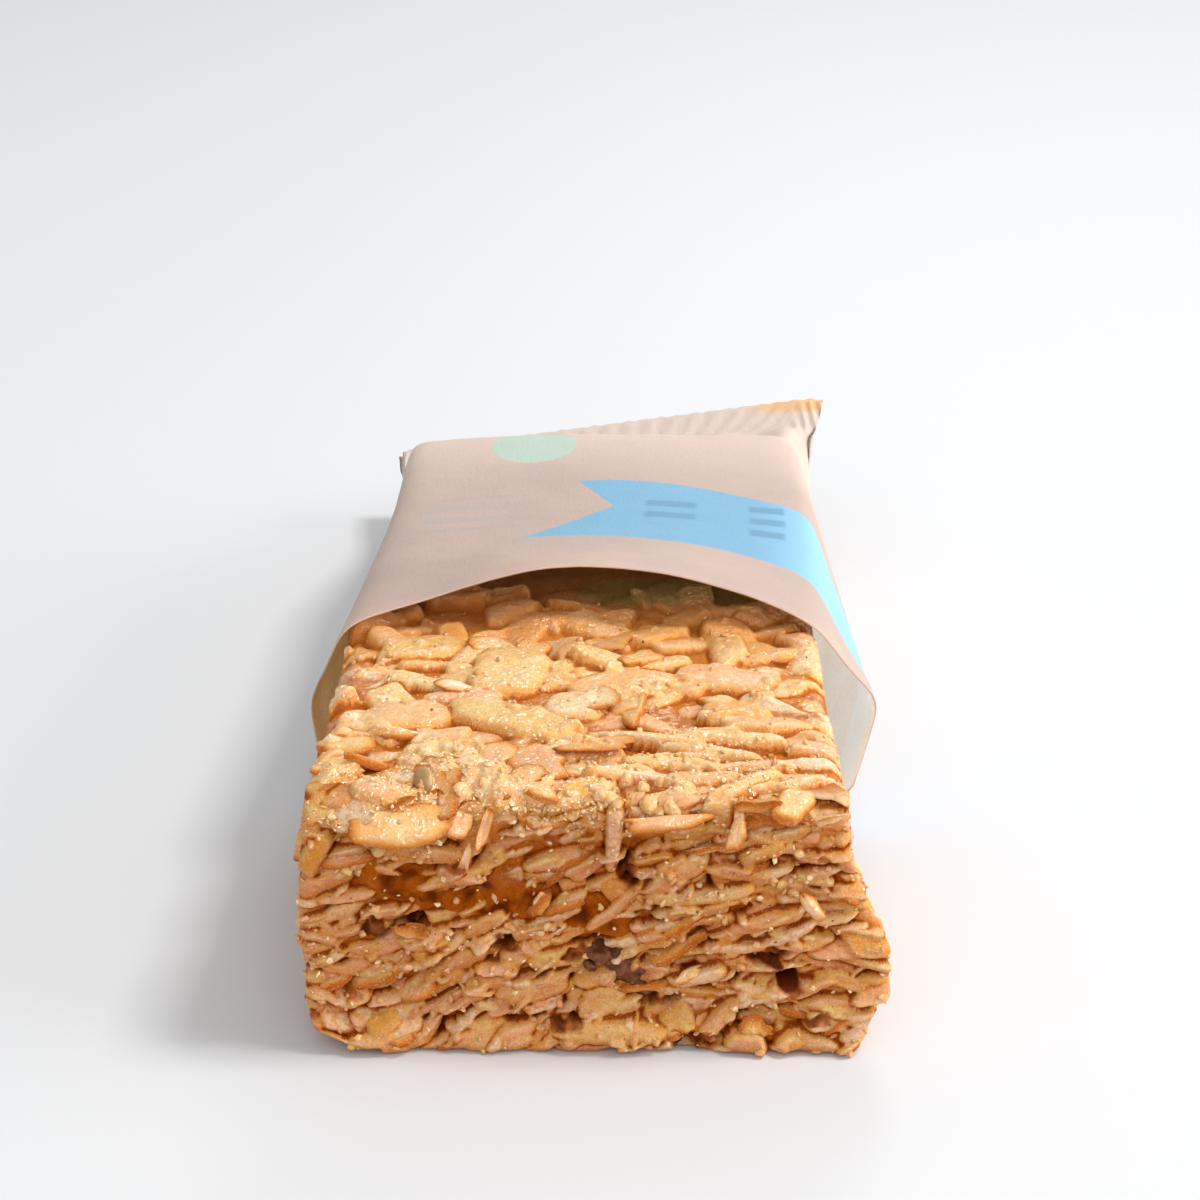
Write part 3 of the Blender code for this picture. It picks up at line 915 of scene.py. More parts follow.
def flakeForms(rng, half, thick, segments, rims, jagged, curl, boxy=2.4, crease=0.12, notches=1):
    # Rolled oat flakes, one for each row of half (half length, half width) and thick.
    # A point is r times the outline rho(angle), a squarish oval with broken sides, times the half
    # sizes. Its height is half the thickness times sqrt(1 - r^4), up or down, plus a curl that grows
    # with the square of the distance, a ripple near the rim and a crease along the upper side.
    count = len(half)
    radius = np.concatenate([[0], rims, rims[-2::-1], [0]])
    rings = len(radius) - 2
    angle = np.arange(segments) * 2 * np.pi / segments
    r = np.concatenate([[0], np.repeat(radius[1:-1], segments), [0]])[None]
    phi = np.concatenate([[0], np.tile(angle, rings), [0]])[None]
    upper = np.concatenate([[1], np.repeat(np.arange(rings) < len(rims), segments), [0]])[None]
    upper = np.where(upper > 0, 1.0, -1.0)

    def own(low, high):
        return rng.uniform(low, high, (count, 1))
    rho = (np.abs(np.cos(phi)) ** boxy + np.abs(np.sin(phi)) ** boxy) ** (-1 / boxy)
    rho = rho + own(-0.12, 0.12) * np.cos(2 * phi + own(0, 6.3))
    rho = rho + own(0, 0.12) * np.cos(3 * phi + own(0, 6.3))
    rho += own(0, 0.08) * np.cos(5 * phi + own(0, 6.3))
    for _ in range(2):  # broken off straight at up to two sides
        facing = np.cos(phi - own(0, 6.3))
        rho = np.where(facing > 0.05, np.minimum(rho, own(0.45, 1.5) / np.maximum(facing, 0.05)), rho)
    teeth = rng.normal(0, jagged, (count, segments))
    rho += np.concatenate([np.zeros((count, 1)), np.tile(teeth, rings), np.zeros((count, 1))], 1) * r ** 3
    for _ in range(notches):
        apart = np.abs((phi - own(0, 6.3) + np.pi) % (2 * np.pi) - np.pi)
        rho -= own(-0.12, 0.4).clip(0) * np.exp(-(apart / own(0.14, 0.34)) ** 2) * r ** 2
    x = half[:, :1] * r * rho * np.cos(phi)
    y = half[:, 1:] * r * rho * np.sin(phi)
    seeds = own(0, 900)
    at = np.stack([x + seeds, y + seeds * 0.7, upper * 2 + seeds * 0], -1)
    swell = 1 + 0.28 * softNoise(at, 1.9, 1)
    z = upper * thick[:, None] / 2 * np.sqrt(np.maximum(0, 1 - r ** 4)) * swell
    share = 1 - r ** 2
    groove = np.exp(-(y / (0.18 * half[:, 1:])) ** 2)
    z -= own(0.3, 1.0) * crease * thick[:, None] * groove * share * (upper > 0)
    z += own(-1, 1) * curl * (y / half[:, 1:]) ** 2 + own(-0.7, 0.7) * curl * (x / half[:, :1]) ** 2
    z += own(-0.5, 0.5) * curl * x * y / (half[:, :1] * half[:, 1:])
    z += own(0, 0.12) * np.sin(3 * phi + own(0, 6.3)) * r ** 3
    z += 0.07 * softNoise(at, 0.8, 2)
    points = np.stack([x, y, z], -1)
    flat = np.stack([x + seeds, y + seeds * 0.61], -1)
    return points, flat, np.broadcast_to(r, x.shape), formFaces(rings, segments, count)


tearing = {"crumb": 0.22, "beyond": 0.07, "sideShare": 0.7, "below": 0.04, "above": 0.3}


def tearOff(points, reach, off):
    # Flattens what stands out past the bar's outline, as where a flake is torn or pressed flush.
    # off is each flake's own amount by which it may stand out.
    x, y, z = points[..., 0].copy(), points[..., 1].copy(), points[..., 2].copy()
    beyond = tearing["beyond"]
    crumb = tearing["crumb"] * layeredNoise(points * (1.0, 1.0, 1.6), 1.1, 3, 4)
    front = faceDepth(x, z) - off + tearDepth(x, z) * 0.5 + crumb
    y = np.where(y < front, front + (y - front) * beyond, y)
    right = sideOut("right", y, z) + off * tearing["sideShare"] + crumb
    x = np.where(x > right, right + (x - right) * beyond, x)
    left = -sideOut("left", y, z) - off * tearing["sideShare"] + crumb
    x = np.where(x < left, left + (x - left) * beyond, x)
    floor = lowest(x, y) + 0.05
    z = np.where(z < floor, floor + (z - floor) * tearing["below"], z)
    z = np.maximum(z, paperFloor)
    high = topZ + reach + off * 0.5
    z = np.where(z > high, high + (z - high) * tearing["above"], z)
    return np.stack([x, y, z], -1)


def putFlakes(name, rng, forms, centres, finish, off, reach, tone=None):
    points, flat, rim, faces = forms
    points = points + centres[:, None]
    count, size = points.shape[:2]
    points = tearOff(points, reach, off[:, None])
    tone = rng.random(count) if tone is None else tone
    points, rim = points.reshape(-1, 3), rim.ravel()
    stain = np.clip(0.7 * layeredNoise(points, 1.5, 3, 66), 0, 0.5)
    # darker towards each flake's rim: syrup round its edge and painted shade
    looks = lookValues(count * size, tone=np.repeat(tone, size), rim=rim * 0.9, deep=stain,
                       line=0.75 * rim ** 4, peak=0.1, wet=wetness(points))
    made = putMesh(name, points, faces, [finish], looks, {"flake": flat.reshape(-1, 2)})


def wetness(points):
    # 1 where syrup lies thick on the top near the bare end, less elsewhere
    x, y, z = points.T
    pool = bell(x, -6, 12) * bell(y, 3, 6) * ease(17, 19.5, z)
    patches = ease(0.0, 0.5, layeredNoise(points, 8.0, 2, 6)) * ease(16, 19, z)
    return np.clip(0.25 + 0.75 * np.maximum(pool, 0.7 * patches), 0, 1)


looseFlakes = {
    "top": 26, "end": 46,
    "halfLength": (1.6, 3.6), "halfWidth": (1.1, 2.4), "thick": (0.5, 0.95),
}


def makeLooseFlakes(baked, torn, faces):
    # flakes that stand off the pressed ones, half sunk in them
    rng = np.random.default_rng(83)
    spec = looseFlakes
    for key, name, finish in (("top", "topFlakes", baked), ("end", "endFlakes", torn)):
        count = spec[key]
        surface = faces[key]
        surface = surface[surface[:, 1] < 33]
        centres = pickPlaces(rng, surface, count)
        half = np.stack([rng.uniform(*spec["halfLength"], count), rng.uniform(*spec["halfWidth"], count)], 1)
        forms = flakeForms(rng, half, rng.uniform(*spec["thick"], count), 26, [0.4, 0.75, 0.93, 1.0],
                           jagged=0.06, curl=0.4)
        if key == "top":
            spin = rng.uniform(0, 6.3, count)
            points = turned(forms[0], spin, rng.normal(0, 0.2, count), rng.normal(0, 0.2, count))
            centres[:, 2] += rng.uniform(-0.3, 0.15, count)
            off = np.zeros(count)
        else:
            rise = riseOfLayers(centres[:, 0]) + rng.normal(0, 0.2, count)
            points = turned(forms[0], rng.uniform(0, 6.3, count), rng.normal(0.1, 0.3, count), -rise)
            centres[:, 1] += rng.uniform(0.6, 2.0, count)
            off = rng.uniform(-0.2, 0.7, count)
        putFlakes(name, rng, (points, *forms[1:]), centres, finish, off=off, reach=0.45)


# Each row: middle (3), half length, half width, thickness, spin, pitch, roll, tone.
ownFlakes = np.array([
    (-13.2, -0.2, 18.5, 3.8, 1.75, 0.8, 0.03, 0.9, 0.0, 0.62),
    (-8.7, 0.0, 18.6, 1.3, 0.9, 0.8, 1.4, 0.9, 0.1, 0.3),
    (-6.9, -0.1, 18.2, 1.5, 0.45, 0.5, 1.5, 1.3, 0.2, 0.4),
    (15.8, 0.2, 19.8, 1.9, 1.3, 1.1, 1.2, 0.35, 0.15, 0.6),
    (11.9, -0.5, 18.8, 2.2, 0.7, 0.6, 0.9, 0.9, -0.5, 0.45),
    (6.6, -0.6, 19.1, 3.3, 0.75, 0.6, 0.05, 0.5, -0.05, 0.3),
    (-15.9, 7.2, 20.2, 2.6, 0.8, 0.8, 0.75, -0.5, 0.2, 0.5),
    (-8.3, -0.5, 15.8, 1.3, 0.4, 0.35, 0.0, 1.5, -1.35, 1.0),
    (-2.8, -0.1, 12.4, 0.7, 0.4, 0.35, 0.0, 1.5, -1.1, 1.0),
    (17.4, -0.4, 11.9, 1.3, 0.6, 0.5, 0.0, 1.4, -2.2, 0.95),
    (8.4, -0.2, 6.3, 1.7, 0.7, 0.6, 0.2, 0.5, -0.15, 0.8),
])


# Each row: middle (3), the three half sizes.
fruitPieces = np.array([
    (1.6, 0.95, 7.5, 1.2, 0.9, 0.8), (3.6, 1.0, 6.0, 1.3, 1.0, 1.0), (4.9, 0.9, 4.9, 1.1, 0.8, 0.8),
    (2.7, 0.9, 7.0, 0.9, 0.8, 0.9), (4.6, 0.6, 6.2, 0.6, 0.5, 0.45), (0.9, 0.5, 6.6, 0.55, 0.45, 0.4),
])
seeds = np.array([(-11.5, 2.9, 20.7, 1.3, 0.5, 0.95)])


def makeBit(name, rows, wrinkle, turns):
    # wrinkled bits: the radius of a ball times 1 + wrinkle times layered noise of the direction
    rings, segments = 20, 36
    ball = ballPoints(rings, segments)[None] + np.zeros((len(rows), 1, 1))
    own = np.arange(len(rows))[:, None, None] * 5.1
    points = ball * (1 + wrinkle * layeredNoise(ball + own, 0.9, 4, 77))[..., None] * rows[:, None, 3:]
    spin, pitch, roll = (np.full(len(rows), value) for value in turns)
    points = turned(points, spin, pitch, roll) + rows[:, None, :3]
    faces = formFaces(rings, segments, len(rows))
    made = putMesh(name, points.reshape(-1, 3), faces, [plainFinish(name)])


def makeOwnFlakes(finish):
    rng = np.random.default_rng(19)
    x, y, z, halfLong, halfAcross, thick, spin, pitch, roll, tone = ownFlakes.T
    forms = flakeForms(rng, np.stack([halfLong, halfAcross], 1), thick, 56,
                       [0.25, 0.5, 0.72, 0.88, 0.96, 1.0], jagged=0.02, curl=0.35, boxy=3.6)
    points = turned(forms[0], spin, pitch, roll)
    centres = np.stack([x, y, z], 1)
    putFlakes("standingFlakes", rng, (points, *forms[1:]), centres, finish,
              off=np.full(len(x), 1.3), reach=1.0, tone=tone)


oatColours = {
    "pale": (0.88, 0.72, 0.50),
    "cream": (0.80, 0.545, 0.19),
    "gold": (0.79, 0.37, 0.05),
    "pink": (0.82, 0.425, 0.24),
    "rust": (0.76, 0.34, 0.10),
    "amber": (0.60, 0.17, 0.005),
    "brown": (0.36, 0.07, 0.002),
    "dark": (0.15, 0.022, 0.0005),
}

tornColours = {
    "pale": (0.93, 0.68, 0.48),
    "cream": (0.78, 0.50, 0.14),
    "gold": (0.72, 0.33, 0.02),
    "pink": (0.80, 0.37, 0.20),
    "rust": (0.68, 0.24, 0.035),
    "amber": (0.56, 0.12, 0.002),
    "brown": (0.28, 0.045, 0.0006),
    "dark": (0.10, 0.012, 0.0003),
}


inPaper = {
    "from": (-35.5, -25.0), "orange": (0.62, 0.24, 0.04),
    "place": (6.0, -17.0, 10.0, 4.5), "olive": (0.34, 0.29, 0.07),
}


# Each finish: colours, gloss, roughness, strength of the bump, subsurface, specular level, and the
# range of the normal's height over which faces that turn downwards get painted shade in amber.
oatLooks = {
    "bakedOats": (oatColours, 0.5, 0.4, 0.4, 0.4, 0.12, (0.1, 0.85)),
    "tornOats": (tornColours, 0.12, 0.45, 0.8, 0.4, 0.04, (-0.5, 0.5)),
    # edgeOats and rightOats are shaded and lit copies for the left and right sides: painted shade and painted
    # light
    "edgeOats": (tornColours, 0.15, 0.4, 0.6, 0.3, 0.05, (-0.5, 0.5)),
    "rightOats": (oatColours, 0.2, 0.4, 0.6, 0.3, 0.1, (-0.5, 0.5)),
    "looseOats": (tornColours, 0.5, 0.4, 0.5, 0.0, 0.1, (-0.9, 0.1)),
    "glazedOats": (oatColours, 0.6, 0.34, 0.3, 0.12, 0.2, (-0.5, 0.5)),
}

glazeLook = {"colour": (1.0, 0.90, 0.74, 1.0), "roughness": 0.24, "share": 0.14, "most": 1.4}


def oatFinish(name):
    colours, gloss, roughness, relief, soft, shine, below = oatLooks[name]
    finish = Finish(name, colours["cream"], 0.42)
    place = finish.place()
    upward = finish.add("SeparateXYZ", None, {0: finish.add("TexCoord", out=1)}, 2)
    blotch = finish.noise(place, 0.45, 4, 0.6)
    grain = finish.noise(place, 2.2, 5, 0.7)
    fine = finish.noise(place, 7.0, 3, 0.6)
    tone, rim, syrup, deep, line, peak, wet = (finish.own(name) for name in lookNames)
    skin = finish.add("ValToRGB", {"stops": [(0.0, colours["gold"]), (0.3, colours["pink"]),
                                             (0.7, colours["cream"]), (1.0, colours["pale"])]}, {0: tone})
    # painted shade: amber on faces that turn downwards, away from the light above
    under = 1 - upward.eased(*below)
    binder = finish.mix(blotch.eased(0.35, 0.62), colours["amber"], colours["brown"])
    binder = finish.painted(binder, [
        (grain.eased(0.52, 0.66) * 0.6, colours["gold"]),
        (fine.eased(0.46, 0.6) * 0.6, colours["brown"])])
    colour = finish.painted(skin, [
        (blotch.eased(0.4, 0.65) * 0.55, colours["rust"]),
        (grain.eased(0.46, 0.62) * 0.55, colours["rust"]),
        # painted light: paler where the relief stands out
        (peak * 0.45, colours["pale"]),
        (rim.eased(0.3, 1.0) * 0.65, colours["gold"]),
        (wet.eased(0.4, 1.1) * 0.28, colours["gold"]),
        # painted shade on the faces that turn downwards
        (under * 0.5, colours["amber"]),
        (syrup * 0.85, binder),
        # the syrup's amber in hollows and creases, darkened further by painted shade, near black deep in pits
        (deep.eased(0.0, 0.5) * 0.6, colours["amber"]),
        (line.eased(0.1, 0.7) * 0.85, colours["amber"]),
        (line.eased(0.35, 1.0) * 0.75, colours["brown"]),
        (deep.eased(0.3, 0.9) * 0.6, colours["brown"]),
        (deep.eased(0.6, 1.0) * 0.9, colours["dark"]),
        (fine.eased(0.54, 0.66) * (1 - syrup) * (1 - deep) * 0.35, colours["pale"]),
        (finish.noise(place, 4.1, 2, 0.5).eased(0.68, 0.75) * 0.6, colours["brown"])])
    # the light that comes through the paper is orange, and olive below the blue print
    x = finish.add("SeparateXYZ", None, {0: place}, 0)
    y = finish.add("SeparateXYZ", None, {0: place}, 1)
    olive = (1 - oval(x + blotch * 6 - 3, y + grain * 4 - 2, *inPaper["place"])).eased(0.0, 0.5)
    finish.set("Base Color", finish.painted(colour, [
        (y.eased(*inPaper["from"]) * 0.65, inPaper["orange"]), (olive * 0.65, inPaper["olive"])]))
    finish.set("Roughness", roughness - wet * 0.18 + grain * 0.2 - 0.1)
    finish.set("Specular IOR Level", shine)
    bare = (1 - deep.eased(0.1, 0.6)) * (1 - line.eased(0.05, 0.5))
    finish.set("Coat Weight", (wet + 0.6) * gloss * grain.eased(0.44, 0.6) * bare)
    finish.set("Coat Roughness", 0.07)
    finish.glow(soft, (1.0, 0.6, 0.35), 0.0005)
    finish.set("Normal", finish.bump(grain + fine * 0.5, relief, 0.0006))
    # glassy crusts of syrup in small spots, so that the light breaks on them
    spots = finish.noise(place, 1.1, 3, 0.6).eased(0.46, 0.53) * (wet * 3 + 1) * gloss * bare
    glaze = finish.add("BsdfPrincipled", None, {
        "Base Color": glazeLook["colour"], "Metallic": 1.0, "Roughness": glazeLook["roughness"],
        "Normal": finish.bump(finish.noise(place, 2.3, 1, 0.35), 1.0, 0.0009)})
    finish.cover(spots.least(glazeLook["most"]) * glazeLook["share"], glaze)
    return finish


# Each small thing: two colours, roughness, coat, scale of the grain, specular level.
bitLooks = {
    "driedFruit": ((0.07, 0.020, 0.008), (0.22, 0.085, 0.045), 0.45, 0.0, 0.9, 0.02),
    "greySeed": ((0.52, 0.32, 0.13), (0.34, 0.17, 0.05), 0.3, 0.4, 0.4, 0.5),
    "syrupBead": ((0.92, 0.50, 0.13), (0.80, 0.30, 0.04), 0.08, 1.0, 1.2, 0.5),
    "branSpeck": ((0.26, 0.09, 0.025), (0.12, 0.04, 0.015), 0.5, 0.2, 1.2, 0.5),
    "syrupSplinter": ((0.80, 0.44, 0.12), (0.86, 0.62, 0.32), 0.06, 1.0, 2.0, 1.0),
}


def plainFinish(name):
    # a finish of two mingled colours with a fine grain
    main, other, roughness, coat, scale, shine = bitLooks[name]
    finish = Finish(name, main, roughness)
    grain = finish.noise(finish.place(), scale, 4, 0.6)
    finish.set("Base Color", finish.mix(grain.eased(0.35, 0.65), main, other))
    finish.set("Roughness", roughness + grain * 0.15)
    finish.set("Specular IOR Level", shine)
    finish.set("Coat Weight", coat)
    finish.set("Coat Roughness", 0.06)
    finish.set("Normal", finish.bump(grain, 0.5, 0.0003))
    return finish


def lumpForms(rng, sizes, segments=7, rings=4, uneven=0.32):
    # small closed lumps: a ball of rings whose radius is changed by a random amount at each point
    points = ballPoints(rings, segments)[None] * sizes[:, None]
    points = points * (1 + uneven * rng.uniform(-1, 1, points.shape[:2]))[..., None]
    count = len(sizes)
    points = turned(points, *(rng.uniform(0, 6.3, count) for _ in range(3)))
    return points, formFaces(rings, segments, count)


def putLumps(name, rng, places, sizes, finish, tones=(0, 1), smooth=True, **look):
    points, faces = lumpForms(rng, sizes, **look)
    size = points.shape[1]
    count = len(places)
    points = points + places[:, None]
    points[..., 2] = np.maximum(points[..., 2], oatFloor)
    looks = lookValues(count * size, tone=np.repeat(rng.uniform(*tones, count), size), rim=0.3, wet=0.4)
    made = putMesh(name, points.reshape(-1, 3), faces, [finish], looks, smooth=smooth)


def pickPlaces(rng, surface, count, where=None):
    # random points of a face's relief, more of them where the weight is higher
    weight = np.ones(len(surface)) if where is None else where
    return surface[rng.choice(len(surface), count, replace=False, p=weight / weight.sum())]


crumbs = {"end": 300, "top": 130, "side": 160, "size": (0.08, 0.30)}
grains = {"count": 30, "long": (0.6, 1.1), "wide": (0.45, 0.7)}
beads = {"count": 120, "size": (0.08, 0.2)}
specks = {"count": 90, "size": (0.04, 0.10)}
splinters = {
    "count": 1500, "size": (0.08, 0.24), "inBand": 0.012,
    # each pool: its share, then the middle and reach across and along
    "pools": [(1.0, -13, 7, 3, 5), (1.0, 0, 6, 1, 4), (0.8, 12, 4, 4, 4), (0.25, 3, 7, 10, 4)],
}


def makeCrumbs(loose, glazed, faces):
    # crumbs of each face, cream coloured grains heaped along the front top edge, beads and
    # splinters of syrup, and specks of bran
    rng = np.random.default_rng(61)
    count = grains["count"]
    places = np.stack([rng.uniform(-11.5, 8.0, count), rng.uniform(0.1, 3.6, count), np.full(count, topZ)], 1)
    places[:, 2] += -0.15 - 0.9 * (1 - ease(0, 1.3, places[:, 1])) + rng.uniform(-0.15, 0.15, count)
    shape = np.stack([rng.uniform(*grains["long"], count), rng.uniform(*grains["wide"], count),
                      rng.uniform(*grains["wide"], count)], 1)
    putLumps("edgeGrains", rng, places, shape, glazed, (0.2, 0.8), segments=12, rings=8, uneven=0.16)

    def sizes(count, span):
        return rng.uniform(*span, (count, 1)) * rng.uniform(0.4, 1.7, (count, 3))
    for key in ("end", "top", "side"):
        places = pickPlaces(rng, faces[key], crumbs[key])
        putLumps(key + "Crumbs", rng, places, sizes(len(places), crumbs["size"]), loose, (0.1, 0.9))
    x, y, z = faces["top"].T
    pool = np.maximum(bell(x, -7, 9) * bell(y, 2.5, 4.5), 0.8 * bell(x, 4, 8) * bell(y, 8, 4)) + 0.04
    places = pickPlaces(rng, faces["top"], beads["count"], pool)
    putLumps("syrupBeads", rng, places, sizes(len(places), beads["size"]), plainFinish("syrupBead"),
             uneven=0.12)
    # splinters, whose flat faces catch the light
    x, y, z = np.concatenate([faces["top"], faces["end"]]).T
    pool = sum(share * bell(x, atX, reachX) * bell(y, atY, reachY)
               for share, atX, reachX, atY, reachY in splinters["pools"])
    pool = pool * ease(17, 19, z) + 0.035
    pool = pool * (y < 30) + splinters["inBand"] * bandShare(x, z) * (z < 18)
    places = pickPlaces(rng, np.stack([x, y, z], 1), splinters["count"], pool)
    places += rng.normal(0, 0.03, places.shape)
    putLumps("syrupSplinters", rng, places, sizes(len(places), splinters["size"]) * (1, 1, 0.5),
             plainFinish("syrupSplinter"), smooth=False, segments=5, rings=2, uneven=0.25)
    both = np.concatenate([faces["end"], faces["top"]])
    places = pickPlaces(rng, both, specks["count"])
    putLumps("branSpecks", rng, places, sizes(len(places), specks["size"]), plainFinish("branSpeck"),
             segments=6, rings=3)


# Distance from the bare end, left crease, right crease, half width of the top, height of the top's
# edges, rise of its arch, height of the underside, height of the creases.
paperStations = np.array([
    (34.0, -24.6, 27.0, 20.4, 21.4, 4.4, 0.0, 10.9),
    (38.0, -24.3, 26.9, 20.3, 21.4, 3.9, 0.0, 10.8),
    (43.0, -23.7, 26.7, 20.2, 21.4, 3.2, 0.0, 10.7),
    (49.0, -23.1, 26.5, 20.2, 21.4, 2.6, 0.0, 10.6),
    (56.0, -22.5, 26.2, 20.2, 21.4, 1.8, 0.0, 10.5),
    (64.0, -21.9, 26.0, 20.2, 21.4, 1.1, 0.0, 10.5),
    (73.0, -21.3, 25.8, 20.2, 21.4, 0.6, 0.0, 10.5),
    (82.0, -20.9, 25.6, 20.2, 21.4, 0.3, 0.0, 10.6),
    (90.0, -20.5, 25.4, 20.3, 21.4, 0.0, 0.0, 10.8),
    (94.0, -20.3, 25.3, 20.3, 20.9, 0.0, 0.2, 10.9),
    (99.0, -20.0, 25.2, 20.2, 18.6, 0.2, 2.4, 11.0),
    (104.0, -19.9, 25.3, 20.4, 16.4, 0.3, 5.0, 11.1),
    (109.0, -20.2, 25.6, 20.9, 14.2, 0.3, 7.6, 11.2),
    (113.0, -20.6, 26.2, 21.6, 12.7, 0.1, 9.6, 11.3),
    (117.0, -21.0, 27.0, 22.6, 11.75, 0.0, 10.75, 11.25),
    (123.0, -21.4, 28.0, 23.6, 11.65, 0.0, 10.85, 11.25),
    (128.5, -21.6, 28.7, 24.2, 11.65, 0.0, 10.85, 11.25),
])

paper = {
    "mouth": 34.0, "tail": 128.5,
    "top": 60, "side": 18,
    "along": 190,
    "thick": 0.14,
    "cornerPasses": 9,
    "crimpStart": 117.0,
    "ridgePitch": 1.15, "ridgeHeight": 0.13,
    "toothPitch": 2.0, "toothDepth": 0.9,
    "crimpTilt": 2.7,
    "lean": 0.6,
    "pleat": 0.6, "pleatPitch": 7.3, "dent": 0.42, "crumple": 0.10,
    # how far the mouth's edge runs back: in the arch, at the creases, below, and at random
    "crown": 3.0, "atCrease": 7.0, "below": 5.0, "wave": 0.35,
    "clearFrom": 21.0,
}


def paperLean(x, y, z):
    # how far the paper sinks at the left of its far half, and what lies in it
    return paper["lean"] * ease(1, 21, -x) * ease(60, 88, y) * ease(11, 19, z)


def outwards(x, z):
    # the direction out of each row's loop, square to the run between a point's neighbours
    run = np.roll(x, -1, 1) - np.roll(x, 1, 1)
    climb = np.roll(z, -1, 1) - np.roll(z, 1, 1)
    length = np.maximum(np.hypot(run, climb), 1e-9)
    return -climb / length, run / length


def paperSheet():
    # one grid of points: rows along the wrapper, columns round it from the top's left corner
    y = np.linspace(paper["mouth"], paper["tail"], paper["along"])
    columns = [np.interp(y, paperStations[:, 0], paperStations[:, k]) for k in range(1, 8)]
    left, right, half, edge, rise, base, crease = softened(np.stack(columns, 1), 6).T
    middle = bend(y)
    corners = [(middle - half, edge), (middle + half, edge), (right, crease),
               (middle + half + 0.6, base), (middle - half - 0.6, base), (left, crease)]
    counts = [paper["top"], paper["side"], paper["side"], paper["top"], paper["side"], paper["side"]]
    xs, zs = [], []
    for k, count in enumerate(counts):
        share = np.arange(count)[None] / count
        (startX, startZ), (endX, endZ) = corners[k], corners[(k + 1) % 6]
        xs.append(startX[:, None] * (1 - share) + endX[:, None] * share)
        zs.append(startZ[:, None] * (1 - share) + endZ[:, None] * share)
    x, z = np.concatenate(xs, 1), np.concatenate(zs, 1)
    across = (x - middle[:, None]) / half[:, None]
    onTopSide = np.arange(x.shape[1]) < paper["top"]
    sag = 0.75 * bell(across, -0.6, 0.25) * (1 - ease(36, 46, y))[:, None]
    z = z + np.where(onTopSide, rise[:, None] * (1 - across ** 2) - sag, 0)
    for _ in range(paper["cornerPasses"]):
        x = (np.roll(x, 1, 1) + 2 * x + np.roll(x, -1, 1)) / 4
        z = (np.roll(z, 1, 1) + 2 * z + np.roll(z, -1, 1)) / 4
    return x, np.broadcast_to(y[:, None], x.shape).copy(), z, crease


